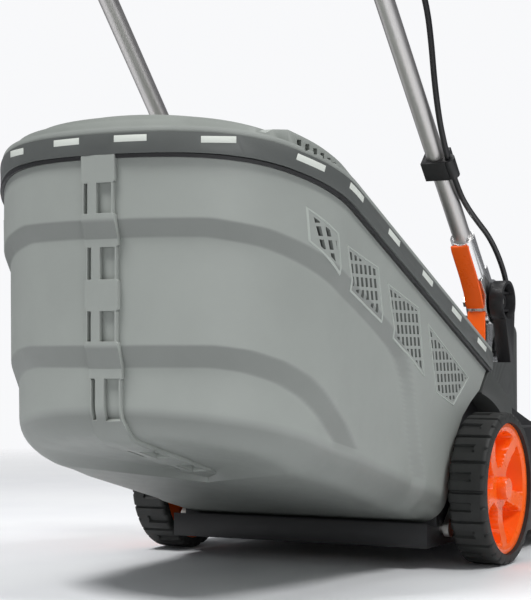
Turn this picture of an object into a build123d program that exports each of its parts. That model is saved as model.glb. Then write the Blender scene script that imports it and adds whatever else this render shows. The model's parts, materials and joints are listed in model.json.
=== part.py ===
from build123d import *
from math import atan, cos, degrees, radians, sin, sqrt, tan
import os

# Push mower with a rotary blade and a rigid rear grass collector.
# Millimetres. +Y is forward, +X is the operator's right, +Z is up.
# The origin is on the ground, under the middle of the rear wheels' axle.

# ---- driving dimensions ----
# Wheels
REAR_WHEEL_R = 90
FRONT_WHEEL_R = 75
WHEEL_WIDTH = 45
WHEEL_INNER_X = 190
WHEELBASE = 400
STUB_R = 6
RUNNING_GAP = 0.05

# Chassis
CHEEK_X = 168
FLARE_X = 205
DECK_WALL = 4
DECK_BOTTOM_Z = 25
SHOULDER_Z = 240
SHOULDER_FRONT_Y = 104
FLARE_TOP_Z = 156
ARCH_R = 115

# Cutting gear
BLADE_Y = 215
BLADE_R = 184
HOUSING_R = 195
HOUSING_TOP_Z = 132
SHAFT_R = 8

# Collector
RIM_FRONT_Z = 250          # height of the rim line above the origin
RIM_SLOPE = 0.39           # rise of the rim towards the rear
RIM_FRONT_Y = 52
RIM_KNEE_Y = -455          # where the rim starts to level out
RIM_REAR_Y = -535
COLLECTOR_REAR_Y = -534
COLLECTOR_CORNER_R = 120
REAR_BOW_R = 220           # the rear wall is bowed, seen from above
COLLECTOR_HALF_WIDTH = 196 # half-width at SIDE_REF_Z
SIDE_REF_Z = 350
SIDE_TAPER = 0.05
COLLECTOR_WALL = 3
FLOOR_SLOPE = 0.237        # rise of the floor towards the rear
FLOOR_FRONT_Z = 35.6       # height of the floor line above the origin
FLOOR_EDGE_R = 38
STEP_UPPER = 5             # inward steps of the side and rear walls
STEP_LOWER = 13
RIM_HEIGHT = 20
RIM_PROUD = 6
LID_RISE = 32

# Handle
PIVOT_Y = 92
PIVOT_Z = 315
HANDLE_LEAN = 44.3         # lean back from the vertical, degrees
TUBE_X = 170
TUBE_R = 11
TUBE_WALL = 1.5
MID_JOINT_D = 520          # from the lower pivot to the mid joint, along the tubes
HANDLE_TOP_D = 955
UPPER_X = 147.4
EAR_R = 28
EAR_THICK = 6
BASE_THICK = 14
SIDE_GAP = 0.3
BOLT_R = 4

CABLE_R = 3.5

# Height lever's pin
LEVER_X = -190
LEVER_Y = 215
LEVER_Z = 148
LEVER_PIN_R = 4

SIDES = {"left": -1, "right": 1}

os.makedirs("parts", exist_ok=True)


def save(part, name):
    """Label one piece and write it to its own file."""
    part.label = name
    export_step(part, f"parts/{name}.step")


def along_handle(distance, forward=0.0):
    """(y, z) at a distance from the lower pivot, and an offset in front of the tubes."""
    lean = radians(HANDLE_LEAN)
    y = PIVOT_Y - distance * sin(lean) + forward * cos(lean)
    z = PIVOT_Z + distance * cos(lean) + forward * sin(lean)
    return y, z


def handle_plane(x, distance, forward=0.0):
    """Plane across a handle tube: local x is +X, local y points forwards and up."""
    y, z = along_handle(distance, forward)
    lean = radians(HANDLE_LEAN)
    return Plane(origin=(x, y, z), x_dir=(1, 0, 0), z_dir=(0, -sin(lean), cos(lean)))


def side_plane(x, y, z):
    """Plane facing +X with local x along the handle tubes."""
    lean = radians(HANDLE_LEAN)
    return Plane(origin=(x, y, z), x_dir=(0, -sin(lean), cos(lean)), z_dir=(1, 0, 0))


# ---- wheels ----
def tyre(radius, y, side):
    """Rubber tyre: a ring with rounded shoulders."""
    inner = radius - 12
    x_in = side * WHEEL_INNER_X
    with BuildPart() as ring:
        with BuildSketch(Plane.XY) as section:
            with Locations((side * (WHEEL_INNER_X + WHEEL_WIDTH / 2), y + (inner + radius) / 2)):
                Rectangle(WHEEL_WIDTH, radius - inner)
            fillet(section.vertices().group_by(Axis.Y)[-1], 5)
        revolve(axis=Axis((x_in, y, 0), (1, 0, 0)))
    return ring.part.moved(Location((0, 0, radius)))


def hub(radius, y, side):
    """Moulded wheel centre: rim, dished five-spoke face, boss and bore."""
    rim_outer = radius - 12
    rim_inner = rim_outer - 7
    boss_r = 17
    outer_x = side * (WHEEL_INNER_X + WHEEL_WIDTH - 4)
    inner_x = side * (WHEEL_INNER_X + 4)
    spokes = 5
    with BuildPart() as wheel:
        with BuildSketch(Plane((inner_x, y, radius), x_dir=(0, 1, 0), z_dir=(side, 0, 0))):
            Circle(rim_outer)
            Circle(rim_inner, mode=Mode.SUBTRACT)
        extrude(amount=WHEEL_WIDTH - 8)
        with BuildSketch(Plane((inner_x, y, radius), x_dir=(0, 1, 0), z_dir=(side, 0, 0))):
            Circle(boss_r)
        extrude(amount=WHEEL_WIDTH - 10)
        web_plane = Plane((side * (WHEEL_INNER_X + 14), y, radius), x_dir=(0, 1, 0), z_dir=(side, 0, 0))
        with BuildSketch(web_plane):
            Circle(rim_inner + 1)
            Circle(boss_r - 1, mode=Mode.SUBTRACT)
        extrude(amount=5)
        with BuildSketch(web_plane):
            with PolarLocations(rim_inner / 2, spokes, start_angle=-90):
                Rectangle(rim_inner + 1, 15)
            Circle(boss_r - 1, mode=Mode.SUBTRACT)
        extrude(amount=18)
        with BuildSketch(Plane((outer_x, y, radius), x_dir=(0, 1, 0), z_dir=(side, 0, 0))):
            Circle(STUB_R + RUNNING_GAP)
        extrude(amount=WHEEL_WIDTH, both=True, mode=Mode.SUBTRACT)
    return wheel.part


for end, radius, wheel_y in (("rear", REAR_WHEEL_R, 0), ("front", FRONT_WHEEL_R, WHEELBASE)):
    for side_name, side in SIDES.items():
        save(tyre(radius, wheel_y, side), f"{end}_{side_name}_tyre")
        save(hub(radius, wheel_y, side), f"{end}_{side_name}_hub")


# ---- height-setting axles ----
AXLE_PIVOT_Z = 45
REAR_PIVOT_Y = -50
FRONT_PIVOT_Y = 450
CRANK_IN_X = 173
CRANK_OUT_X = 180
AXLE_R = 6


def axle(pivot_y, wheel_y, wheel_z):
    """Cross bar with a crank plate and a stub at each end."""
    arm = Vector(0, wheel_y - pivot_y, wheel_z - AXLE_PIVOT_Z)
    middle = Vector(0, pivot_y, AXLE_PIVOT_Z) + arm * 0.5
    with BuildPart() as bar:
        with BuildSketch(Plane((0, pivot_y, AXLE_PIVOT_Z), x_dir=(0, 1, 0), z_dir=(1, 0, 0))):
            Circle(AXLE_R)
        extrude(amount=CRANK_IN_X, both=True)
        for side in SIDES.values():
            crank_x = side * (CRANK_IN_X + CRANK_OUT_X) / 2
            with BuildSketch(Plane((crank_x, middle.Y, middle.Z), x_dir=arm, z_dir=(1, 0, 0))):
                SlotCenterToCenter(arm.length, 20)
            extrude(amount=(CRANK_OUT_X - CRANK_IN_X) / 2, both=True)
            with BuildSketch(Plane((side * CRANK_OUT_X, wheel_y, wheel_z), x_dir=(0, 1, 0), z_dir=(side, 0, 0))):
                Circle(STUB_R)
            extrude(amount=WHEEL_INNER_X + WHEEL_WIDTH - 2 - CRANK_OUT_X)
    return bar.part


def wheel_washers(wheel_y, wheel_z):
    """Push-on washers that keep the hubs on their stubs."""
    with BuildPart() as washers:
        for side in SIDES.values():
            face_x = side * (WHEEL_INNER_X + WHEEL_WIDTH - 5.7)
            with BuildSketch(Plane((face_x, wheel_y, wheel_z), x_dir=(0, 1, 0), z_dir=(side, 0, 0))):
                Circle(11)
                Circle(STUB_R, mode=Mode.SUBTRACT)
            extrude(amount=2)
    return washers.part


save(axle(REAR_PIVOT_Y, 0, REAR_WHEEL_R), "rear_axle")
save(axle(FRONT_PIVOT_Y, WHEELBASE, FRONT_WHEEL_R), "front_axle")
save(wheel_washers(0, REAR_WHEEL_R), "rear_wheel_washers")
save(wheel_washers(WHEELBASE, FRONT_WHEEL_R), "front_wheel_washers")


# ---- chassis ----
def deck_plan(inset):
    """Seen from above: narrow between the wheels, flared beside the blade."""
    cheek = CHEEK_X - inset
    flare = FLARE_X - inset
    nose_y = 482 - inset
    rear_y = -97 + inset
    right = [
        (0, rear_y), (cheek, rear_y), (cheek, 107), (flare, 125), (flare, 300), (cheek, 322),
        (cheek, 440), (120, nose_y), (0, nose_y),
    ]
    left = [(-x, y) for x, y in reversed(right[1:-1])]
    return right + left


def mouth_edge(gap):
    """(y, z) points up the slanted mouth of the collector, a gap in front of it."""
    return [(-70 + gap, 74), (-49 + gap, 160), (24 + gap, 203)]


def deck_form(inset):
    """Solid filling the chassis outline, moved inwards by inset."""
    low = DECK_BOTTOM_Z - (50 if inset else 0)
    foot, bend, throat = mouth_edge(3 + inset)
    with BuildPart() as form:
        with BuildSketch(Plane.XY.offset(low)):
            with BuildLine():
                Polyline(*deck_plan(inset), close=True)
            make_face()
        extrude(amount=400)
        with BuildSketch(Plane.YZ):
            with BuildLine():
                start = (-97 + inset, low)
                Polyline(start, (-97 + inset, 53 - inset), (foot[0], 47 - inset), foot)
                ThreePointArc(foot, bend, throat)
                Polyline(
                    throat, (50 + inset, 229), (50 + inset, SHOULDER_Z - inset),
                    (SHOULDER_FRONT_Y - inset, SHOULDER_Z - inset), (118 - inset, 192 - inset),
                    (196, 182 - inset),
                    (279, 160 - inset), (360, 147 - inset), (432 - inset, 140 - inset), (482 - inset, 96),
                    (482 - inset, low), start,
                )
            make_face()
        extrude(amount=300, both=True, mode=Mode.INTERSECT)
        for side in SIDES.values():
            with BuildSketch(Plane.YZ.offset(side * (CHEEK_X - inset))):
                with BuildLine():
                    Polyline(
                        (100, 400), (100, FLARE_TOP_Z - inset), (230, FLARE_TOP_Z - inset),
                        (340, 136 - inset), (340, 400), close=True,
                    )
                make_face()
            extrude(amount=side * 60, mode=Mode.SUBTRACT)
    return form.part


HOOD_HALF_X = 140
HOOD_REAR_Y = 125
HOOD_FRONT_Y = 335
CHUTE_HALF_X = 147


def deck():
    """Moulded chassis shell with the mouth to the collector and the hood opening."""
    axle_hole_r = AXLE_R + RUNNING_GAP
    with BuildPart() as shell:
        add(deck_form(0))
        add(deck_form(DECK_WALL), mode=Mode.SUBTRACT)
        with Locations((0, -10, 140)):
            Box(2 * CHUTE_HALF_X + 1, 150, 152, mode=Mode.SUBTRACT)
        with BuildSketch(Plane.XY.offset(HOUSING_TOP_Z)):
            with Locations((0, (HOOD_REAR_Y + HOOD_FRONT_Y) / 2)):
                RectangleRounded(2 * HOOD_HALF_X + 1, HOOD_FRONT_Y - HOOD_REAR_Y + 1, 30.5)
        extrude(amount=200, mode=Mode.SUBTRACT)
        for pivot_y in (REAR_PIVOT_Y, FRONT_PIVOT_Y):
            for side in SIDES.values():
                boss_x = side * (CHEEK_X - DECK_WALL)
                with BuildSketch(Plane((boss_x, pivot_y, AXLE_PIVOT_Z), x_dir=(0, 1, 0), z_dir=(-side, 0, 0))):
                    Circle(11)
                extrude(amount=14)
        with BuildSketch(Plane((0, REAR_PIVOT_Y, AXLE_PIVOT_Z), x_dir=(0, 1, 0), z_dir=(1, 0, 0))):
            Circle(axle_hole_r)
            with Locations((FRONT_PIVOT_Y - REAR_PIVOT_Y, 0)):
                Circle(axle_hole_r)
        extrude(amount=CHEEK_X + 5, both=True, mode=Mode.SUBTRACT)
        with Locations((LEVER_X, LEVER_Y, 185)):
            Box(9, 46, 70, mode=Mode.SUBTRACT)
        with BuildSketch(Plane((LEVER_X + 5, LEVER_Y, LEVER_Z), x_dir=(0, 1, 0), z_dir=(-1, 0, 0))):
            Circle(LEVER_PIN_R)
        extrude(amount=FLARE_X + LEVER_X + 3)
        for side in SIDES.values():
            with Locations((side * 153, 64, 260)):
                Box(6, 18, 44)
        with BuildSketch(Plane((0, FLAP_PIVOT_Y, FLAP_PIVOT_Z), x_dir=(0, 1, 0), z_dir=(1, 0, 0))):
            Circle(FLAP_PIN_R)
        extrude(amount=CHEEK_X, both=True, mode=Mode.SUBTRACT)
    return shell.part


def fenders():
    """Arched panels over both rear wheels."""
    outline = [(28, 203), (47, 229), (62, 219), (104, 188), (104, 110)]
    with BuildPart() as panels:
        for side in SIDES.values():
            with BuildSketch(Plane.YZ.offset(side * (CHEEK_X + 0.3))):
                with BuildLine():
                    Polyline(*outline, close=True)
                make_face()
                with Locations((0, REAR_WHEEL_R)):
                    Circle(ARCH_R, mode=Mode.SUBTRACT)
            extrude(amount=side * 34.5)
            with BuildSketch(Plane.XY.offset(80)):
                with BuildLine():
                    Polyline(
                        (side * 190, 10), (side * 190, 28), (side * 203.5, 106), (side * 260, 106),
                        (side * 260, 10), close=True,
                    )
                make_face()
            extrude(amount=200, mode=Mode.SUBTRACT)
    return panels.part


FLAP_PIVOT_Y = 64
FLAP_PIVOT_Z = 276
FLAP_PIN_R = 2.5

save(deck(), "deck")
save(fenders(), "fenders")


def blade_housing():
    """Round cup over the blade, open below and towards the chute."""
    wall = 3
    with BuildPart() as cup:
        with BuildSketch(Plane.XY.offset(DECK_BOTTOM_Z)):
            with Locations((0, BLADE_Y)):
                Circle(HOUSING_R)
        extrude(amount=HOUSING_TOP_Z - DECK_BOTTOM_Z)
        with BuildSketch(Plane.XY.offset(DECK_BOTTOM_Z)):
            with Locations((0, BLADE_Y)):
                Circle(HOUSING_R - wall)
        extrude(amount=HOUSING_TOP_Z - DECK_BOTTOM_Z - DECK_WALL, mode=Mode.SUBTRACT)
        with Locations((0, 15, 96)):
            Box(2 * CHUTE_HALF_X + 1, 100, 80, mode=Mode.SUBTRACT)
        with Locations(Plane.XY.offset(HOUSING_TOP_Z)):
            with Locations((0, BLADE_Y)):
                Hole(30)
    return cup.part


def chute():
    """Duct from the blade housing up to the collector's mouth."""
    wall = 3
    with BuildPart() as duct:
        with BuildSketch(Plane.YZ):
            with BuildLine():
                Polyline(
                    (62, 57), (-60, 57), (-60, 74), (-38, 160), (34, 203), (40, 214), (62, 214), (62, 135),
                    close=True,
                )
            make_face()
        extrude(amount=CHUTE_HALF_X, both=True)
        with BuildSketch(Plane.YZ):
            with BuildLine():
                Polyline((66, 60), (-70, 60), (-70, 211), (59, 211), (59, 128), (66, 128), close=True)
            make_face()
        extrude(amount=CHUTE_HALF_X - wall, both=True, mode=Mode.SUBTRACT)
        with BuildSketch(Plane.XY.offset(50)):
            with Locations((0, BLADE_Y)):
                Circle(HOUSING_R + 0.2)
        extrude(amount=HOUSING_TOP_Z - 49.8, mode=Mode.SUBTRACT)
    return duct.part


def hood():
    """Cover over the motor, standing on the blade housing."""
    wall = 3
    top_z = 300
    middle_y = (HOOD_REAR_Y + HOOD_FRONT_Y) / 2
    length = HOOD_FRONT_Y - HOOD_REAR_Y
    with BuildPart() as cover:
        with BuildSketch(Plane.XY.offset(HOUSING_TOP_Z)):
            with Locations((0, middle_y)):
                RectangleRounded(2 * HOOD_HALF_X, length, 30)
        extrude(amount=top_z - HOUSING_TOP_Z)
        fillet(cover.faces().sort_by(Axis.Z)[-1].edges(), 24)
        offset(amount=-wall, openings=cover.faces().sort_by(Axis.Z)[0])
        for side in SIDES.values():
            with Locations((side * HOOD_HALF_X, middle_y, 262)):
                with GridLocations(0, 16, 1, 8):
                    Box(30, 7, 22, mode=Mode.SUBTRACT)
    return cover.part


save(blade_housing(), "blade_housing")
save(chute(), "discharge_chute")
save(hood(), "motor_hood")


# ---- motor and blade ----
def ring(outer_r, inner_r, low_z, high_z):
    """Ring about the blade's axis."""
    with BuildPart() as body:
        with BuildSketch(Plane.XY.offset(low_z)):
            with Locations((0, BLADE_Y)):
                Circle(outer_r)
                Circle(inner_r, mode=Mode.SUBTRACT)
        extrude(amount=high_z - low_z)
    return body.part


MOTOR_R = 60
MOTOR_TOP_Z = 268
BEARING_R = 16
LOWER_BEARING_Z = 138
UPPER_BEARING_Z = 250


def motor_can():
    """Motor casing with seats for both bearings."""
    with BuildPart() as can:
        with BuildSketch(Plane.XY.offset(HOUSING_TOP_Z)):
            with Locations((0, BLADE_Y)):
                Circle(MOTOR_R)
        extrude(amount=MOTOR_TOP_Z - HOUSING_TOP_Z)
        with BuildSketch(Plane.XY.offset(HOUSING_TOP_Z + 16)):
            with Locations((0, BLADE_Y)):
                Circle(MOTOR_R - 3)
        extrude(amount=MOTOR_TOP_Z - HOUSING_TOP_Z - 32, mode=Mode.SUBTRACT)
        for low_z in (LOWER_BEARING_Z, UPPER_BEARING_Z):
            with BuildSketch(Plane.XY.offset(low_z - 2)):
                with Locations((0, BLADE_Y)):
                    Circle(BEARING_R)
            extrude(amount=14, mode=Mode.SUBTRACT)
        with BuildSketch(Plane.XY.offset(HOUSING_TOP_Z)):
            with Locations((0, BLADE_Y)):
                Circle(SHAFT_R + 2)
        extrude(amount=MOTOR_TOP_Z - HOUSING_TOP_Z - 4, mode=Mode.SUBTRACT)
    return can.part


def bearings():
    """Two ball bearings, each shown as one ring."""
    with BuildPart() as pair:
        for low_z in (LOWER_BEARING_Z, UPPER_BEARING_Z):
            with BuildSketch(Plane.XY.offset(low_z)):
                with Locations((0, BLADE_Y)):
                    Circle(BEARING_R)
                    Circle(SHAFT_R + RUNNING_GAP, mode=Mode.SUBTRACT)
            extrude(amount=10)
    return pair.part


def blade_carrier():
    """Hub that drives the blade, with the cooling fan's disc and vanes."""
    with BuildPart() as fan:
        with BuildSketch(Plane.XY.offset(59.5)):
            with Locations((0, BLADE_Y)):
                Circle(28)
        extrude(amount=30)
        with BuildSketch(Plane.XY.offset(88)):
            with Locations((0, BLADE_Y)):
                Circle(75)
        extrude(amount=4)
        with BuildSketch(Plane.XY.offset(92)):
            with Locations((0, BLADE_Y)):
                with PolarLocations(48, 8):
                    Rectangle(46, 3)
        extrude(amount=16)
        with BuildSketch(Plane.XY.offset(59.5)):
            with Locations((0, BLADE_Y)):
                Circle(SHAFT_R)
        extrude(amount=50, mode=Mode.SUBTRACT)
    return fan.part


def blade():
    """Flat bar blade with lifted trailing corners."""
    with BuildPart() as bar:
        with BuildSketch(Plane.XY.offset(56)):
            with Locations((0, BLADE_Y)):
                SlotOverall(2 * BLADE_R, 50)
                Circle(SHAFT_R, mode=Mode.SUBTRACT)
        extrude(amount=3.5)
        for side in SIDES.values():
            with BuildSketch(Plane.XY.offset(59.5)):
                with Locations((side * 140, BLADE_Y + side * 18)):
                    Rectangle(60, 8)
            extrude(amount=12, taper=15)
    return bar.part


save(motor_can(), "motor_casing")
save(ring(MOTOR_R - 3, 41.5, 165, 235), "motor_stator")
save(bearings(), "motor_bearings")


def shaft():
    """Motor shaft from the top bearing down to the blade."""
    with BuildPart() as rod:
        with BuildSketch(Plane.XY.offset(56)):
            with Locations((0, BLADE_Y)):
                Circle(SHAFT_R)
        extrude(amount=206)
    return rod.part


def blade_bolt():
    """Hexagon bolt head and washer that hold the blade."""
    with BuildPart() as bolt:
        with BuildSketch(Plane.XY.offset(47)):
            with Locations((0, BLADE_Y)):
                Circle(16)
        extrude(amount=9)
        with BuildSketch(Plane.XY.offset(40)):
            with Locations((0, BLADE_Y)):
                RegularPolygon(9, 6)
        extrude(amount=7)
    return bolt.part


save(shaft(), "motor_shaft")
save(ring(41, SHAFT_R, 168, 232), "armature")
save(blade_carrier(), "blade_carrier")
save(blade(), "blade")
save(blade_bolt(), "blade_bolt")


# ---- collector ----
def side_x(z):
    """Half-width of the collector's outer wall at a height."""
    return COLLECTOR_HALF_WIDTH - SIDE_TAPER * (SIDE_REF_Z - z)


def corner_centre(level):
    """Centre of the right rear corner's arc at a height."""
    reach = REAR_BOW_R - COLLECTOR_CORNER_R
    x = side_x(level) - COLLECTOR_CORNER_R
    return x, COLLECTOR_REAR_Y + REAR_BOW_R - sqrt(reach**2 - x**2)


def collector_body(inset):
    """Solid inside the collector's outline: tapered sides, round corners and a bowed rear."""
    bow_y = COLLECTOR_REAR_Y + REAR_BOW_R
    stretch = (REAR_BOW_R - inset) / (REAR_BOW_R - COLLECTOR_CORNER_R)
    with BuildPart() as body:
        for level in (30, 520):
            half_width = side_x(level) - inset
            corner_x, corner_y = corner_centre(level)
            joint_x = corner_x * stretch
            joint_y = bow_y + (corner_y - bow_y) * stretch
            with BuildSketch(Plane.XY.offset(level)):
                with BuildLine():
                    straight = Polyline(
                        (-half_width, corner_y), (-half_width, 70), (half_width, 70), (half_width, corner_y)
                    )
                    TangentArc(straight @ 1, (joint_x, joint_y), tangent=(0, -1))
                    rear = ThreePointArc(
                        (joint_x, joint_y), (0, COLLECTOR_REAR_Y + inset), (-joint_x, joint_y)
                    )
                    TangentArc(rear @ 1, straight @ 0, tangent=rear % 1)
                make_face()
        loft(ruled=True)
    return body.part


def rim_slab(low, high, front_y=RIM_FRONT_Y):
    """Prism across the collector between two lines that follow the rim at given heights."""
    knee_z = RIM_FRONT_Z - RIM_SLOPE * RIM_KNEE_Y
    turn = atan(RIM_SLOPE)
    bend_r = (RIM_KNEE_Y - RIM_REAR_Y) / sin(turn)
    rear_z = knee_z + bend_r * (1 - cos(turn))
    front_z = RIM_FRONT_Z - RIM_SLOPE * front_y
    back_y = RIM_REAR_Y - 30
    uphill = (-cos(turn), sin(turn))
    with BuildPart() as slab:
        with BuildSketch(Plane.YZ):
            with BuildLine():
                lower = Line((front_y, front_z + low), (RIM_KNEE_Y, knee_z + low))
                lower_bend = TangentArc(lower @ 1, (RIM_REAR_Y, rear_z + low), tangent=uphill)
                upper = Line((front_y, front_z + high), (RIM_KNEE_Y, knee_z + high))
                upper_bend = TangentArc(upper @ 1, (RIM_REAR_Y, rear_z + high), tangent=uphill)
                Polyline(lower_bend @ 1, (back_y, rear_z + low), (back_y, rear_z + high), upper_bend @ 1)
                Line(upper @ 0, lower @ 0)
            make_face()
        extrude(amount=300, both=True)
    return slab.part


def side_profile(inset):
    """Prism across the collector with its slanted floor, rounded heel and mouth."""
    floor_z = FLOOR_FRONT_Z + inset
    heel_r = FLOOR_EDGE_R - inset
    heel_y = COLLECTOR_REAR_Y + inset
    heel_z = floor_z - FLOOR_SLOPE * heel_y
    turn = radians(90) - atan(FLOOR_SLOPE)
    setback = heel_r * tan(turn / 2)
    floor_run = Vector(0, -cos(atan(FLOOR_SLOPE)), sin(atan(FLOOR_SLOPE)))
    heel_floor = (heel_y - floor_run.Y * setback, heel_z - floor_run.Z * setback)
    foot, bend, throat = mouth_edge(0)
    with BuildPart() as prism:
        with BuildSketch(Plane.YZ):
            with BuildLine():
                Polyline((60, 700), (heel_y - 20, 700), (heel_y - 20, heel_z + setback), (heel_y, heel_z + setback))
                TangentArc((heel_y, heel_z + setback), heel_floor, tangent=(0, -1))
                Polyline(heel_floor, (foot[0], floor_z - FLOOR_SLOPE * foot[0]), foot)
                ThreePointArc(foot, bend, throat)
                Polyline(throat, (45, 232), (60, 232), (60, 700))
            make_face()
        extrude(amount=300, both=True)
    return prism.part


def floor_trough(inset):
    """Trough along the floor that rounds its two long edges."""
    half_width = COLLECTOR_HALF_WIDTH - SIDE_TAPER * (SIDE_REF_Z - 90) - inset
    edge_r = FLOOR_EDGE_R - inset
    slope = atan(FLOOR_SLOPE)
    trough_plane = Plane(
        origin=(0, 100, FLOOR_FRONT_Z + inset - FLOOR_SLOPE * 100),
        x_dir=(1, 0, 0), z_dir=(0, -cos(slope), sin(slope)),
    )
    down = -1 if trough_plane.y_dir.Z > 0 else 1
    with BuildPart() as trough:
        with BuildSketch(trough_plane):
            with BuildLine():
                floor = Line((edge_r - half_width, 0), (half_width - edge_r, 0))
                right = TangentArc(floor @ 1, (half_width, -down * edge_r), tangent=(1, 0))
                walls = Polyline(
                    right @ 1, (half_width + 45, -down * 600), (-half_width - 45, -down * 600),
                    (-half_width, -down * edge_r),
                )
                TangentArc(floor @ 0, walls @ 1, tangent=(-1, 0))
            make_face()
        extrude(amount=760)
    return trough.part


def collector_core(inset):
    """Collector outline with its rounded floor edges, before the steps and the rim cut."""
    with BuildPart() as core:
        add(collector_body(inset))
        add(side_profile(inset), mode=Mode.INTERSECT)
        add(floor_trough(inset), mode=Mode.INTERSECT)
    return core.part


def recess(points):
    """Prism across the collector behind a step line."""
    with BuildPart() as prism:
        with BuildSketch(Plane.YZ):
            with BuildLine():
                Polyline(*points, close=True)
            make_face()
        extrude(amount=300, both=True)
    return prism.part


def collector_form(inset, spread):
    """Collector outline with both inward steps; spread moves the step lines outwards."""
    upper_step = [
        (-600, 372 + spread), (-495, 368 + spread), (-440, 346 + spread), (-225 + spread, 258 + spread),
        (-190 + spread, 190), (-130 + spread, 0), (-600, 0),
    ]
    lower_step = [
        (-600, 255 + spread), (-495, 250 + spread), (-440, 222 + spread), (-340 + spread, 156 + spread),
        (-300 + spread, 100), (-300 + spread, 0), (-600, 0),
    ]
    with BuildPart() as form:
        add(collector_core(inset))
        for points, step in ((upper_step, STEP_UPPER), (lower_step, STEP_LOWER)):
            add(recess(points) - collector_core(inset + step), mode=Mode.SUBTRACT)
        add(rim_slab(-600, 0, 100), mode=Mode.INTERSECT)
    return form.part


LID_GRIP_Y = -200
RIM_CLIP_LENGTH = 34
RIM_CLIP_HEIGHT = 6.5
RIM_CLIP_LEVEL = 14.5
REAR_CLIP_TURNS = (9.4, 31.5)    # degrees round the bowed rear from its middle
CORNER_CLIP_TURN = 57
SIDE_CLIPS_Y = (-375, -275, -175, -80, 10)
SEAM_LEFT = 17
SEAM_RIGHT = 19
SEAM_PROUD = 5
REAR_WINDOWS = ((385, 415), (321, 353), (260, 291), (185, 224))
FLOOR_WINDOWS_Y = (-440, -365, -290, -215)


def rim_z(y):
    """Height of the rim line on its straight slope."""
    return RIM_FRONT_Z - RIM_SLOPE * y


def rim_curve_z(y):
    """Height of the rim line behind its knee, where it levels out."""
    turn = atan(RIM_SLOPE)
    bend_r = (RIM_KNEE_Y - RIM_REAR_Y) / sin(turn)
    rise = sqrt(1 - (sin(turn) - (RIM_KNEE_Y - y) / bend_r)**2)
    return rim_z(RIM_KNEE_Y) + bend_r * (rise - cos(turn))


def seam_windows():
    """Openings in the raised seam, the right ones wide and the left ones narrow."""
    right_x = (0.1 + SEAM_RIGHT - 2) / 2
    with BuildPart() as cuts:
        for low, high in REAR_WINDOWS:
            with Locations((right_x, COLLECTOR_REAR_Y, (low + high) / 2)):
                Box(SEAM_RIGHT - 2.1, 60, high - low)
            with Locations((-12.5, COLLECTOR_REAR_Y, (low + high) / 2)):
                Box(3.5, 60, high - low)
        for y in FLOOR_WINDOWS_Y:
            with Locations((right_x, y, FLOOR_FRONT_Z - FLOOR_SLOPE * y)):
                Box(SEAM_RIGHT - 2.1, 34, 60)
            with Locations((-12.5, y, FLOOR_FRONT_Z - FLOOR_SLOPE * y)):
                Box(3.5, 34, 60)
    return cuts.part


def collector_shell():
    """Both halves of the collector as one thin shell with its raised seam."""
    outer = collector_form(0, 0)
    inner = collector_form(COLLECTOR_WALL, 4)
    with BuildPart() as seam:
        add(collector_form(-SEAM_PROUD, -4))
        add(outer, mode=Mode.SUBTRACT)
        with Locations(((SEAM_RIGHT - SEAM_LEFT) / 2, -350, 300)):
            Box(SEAM_LEFT + SEAM_RIGHT, 500, 600, mode=Mode.INTERSECT)
        add(seam_windows(), mode=Mode.SUBTRACT)
    with BuildPart() as shell:
        add(outer)
        add(seam.part)
        add(inner, mode=Mode.SUBTRACT)
    return shell.part


shell = collector_shell()
for side_name, keep in (("left", Keep.BOTTOM), ("right", Keep.TOP)):
    with BuildPart() as half:
        add(shell)
        split(bisect_by=Plane.YZ, keep=keep)
    save(half.part, f"collector_{side_name}")


def outline_place(turn, level):
    """Right-hand point (x, y) of the collector's outline whose normal is turned from the rear."""
    corner_x, corner_y = corner_centre(level)
    facing = (sin(radians(turn)), -cos(radians(turn)))
    bow_y = COLLECTOR_REAR_Y + REAR_BOW_R
    if facing[0] * (bow_y - corner_y) < -facing[1] * corner_x:
        return REAR_BOW_R * facing[0], bow_y + REAR_BOW_R * facing[1]
    return corner_x + COLLECTOR_CORNER_R * facing[0], corner_y + COLLECTOR_CORNER_R * facing[1]


def rim_plane(x, y, turn, side):
    """Plane on the rim's outside, facing out, with local x along the rim line."""
    out = Vector(side * sin(radians(turn)), -cos(radians(turn)), 0)
    along = Vector(-out.Y, out.X, -RIM_SLOPE * out.X if y > RIM_KNEE_Y else 0)
    height = rim_z(y) if y > RIM_KNEE_Y else rim_curve_z(y)
    return Plane(Vector(side * x, y, height + RIM_CLIP_LEVEL) + out * RIM_PROUD, x_dir=along, z_dir=out)


def rim_clip_blocks():
    """Blocks where the lid's catches show through the rim."""
    level = 450
    with BuildPart() as blocks:
        for side in SIDES.values():
            for turn in REAR_CLIP_TURNS + (CORNER_CLIP_TURN,):
                x, y = outline_place(turn, level)
                with Locations(rim_plane(x, y, turn, side)):
                    Box(RIM_CLIP_LENGTH, RIM_CLIP_HEIGHT, 6)
            for y in SIDE_CLIPS_Y:
                with Locations(rim_plane(side_x(rim_z(y) + RIM_CLIP_LEVEL), y, 90, side)):
                    Box(RIM_CLIP_LENGTH, RIM_CLIP_HEIGHT, 6)
    return blocks.part


def rim_ring():
    """Band round the rear and both sides of the collector's top."""
    with BuildPart() as ring_part:
        add(collector_body(-RIM_PROUD))
        add(rim_slab(0, RIM_HEIGHT), mode=Mode.INTERSECT)
        add(collector_body(COLLECTOR_WALL), mode=Mode.SUBTRACT)
    return ring_part.part


full_rim = rim_ring()
with BuildPart() as rim:
    add(full_rim)
    add(rim_clip_blocks(), mode=Mode.SUBTRACT)
with BuildPart() as rim_clips:
    add(rim_clip_blocks())
    add(full_rim, mode=Mode.INTERSECT)
save(rim.part, "collector_rim")
save(rim_clips.part, "rim_clips")


def stacked(levels):
    """Stepped dome that follows the rim: (inset, low, high) for each level."""
    with BuildPart() as stack:
        for inset, low, high in levels:
            add(rim_slab(low, high).intersect(collector_body(inset)))
    return stack.part


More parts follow.
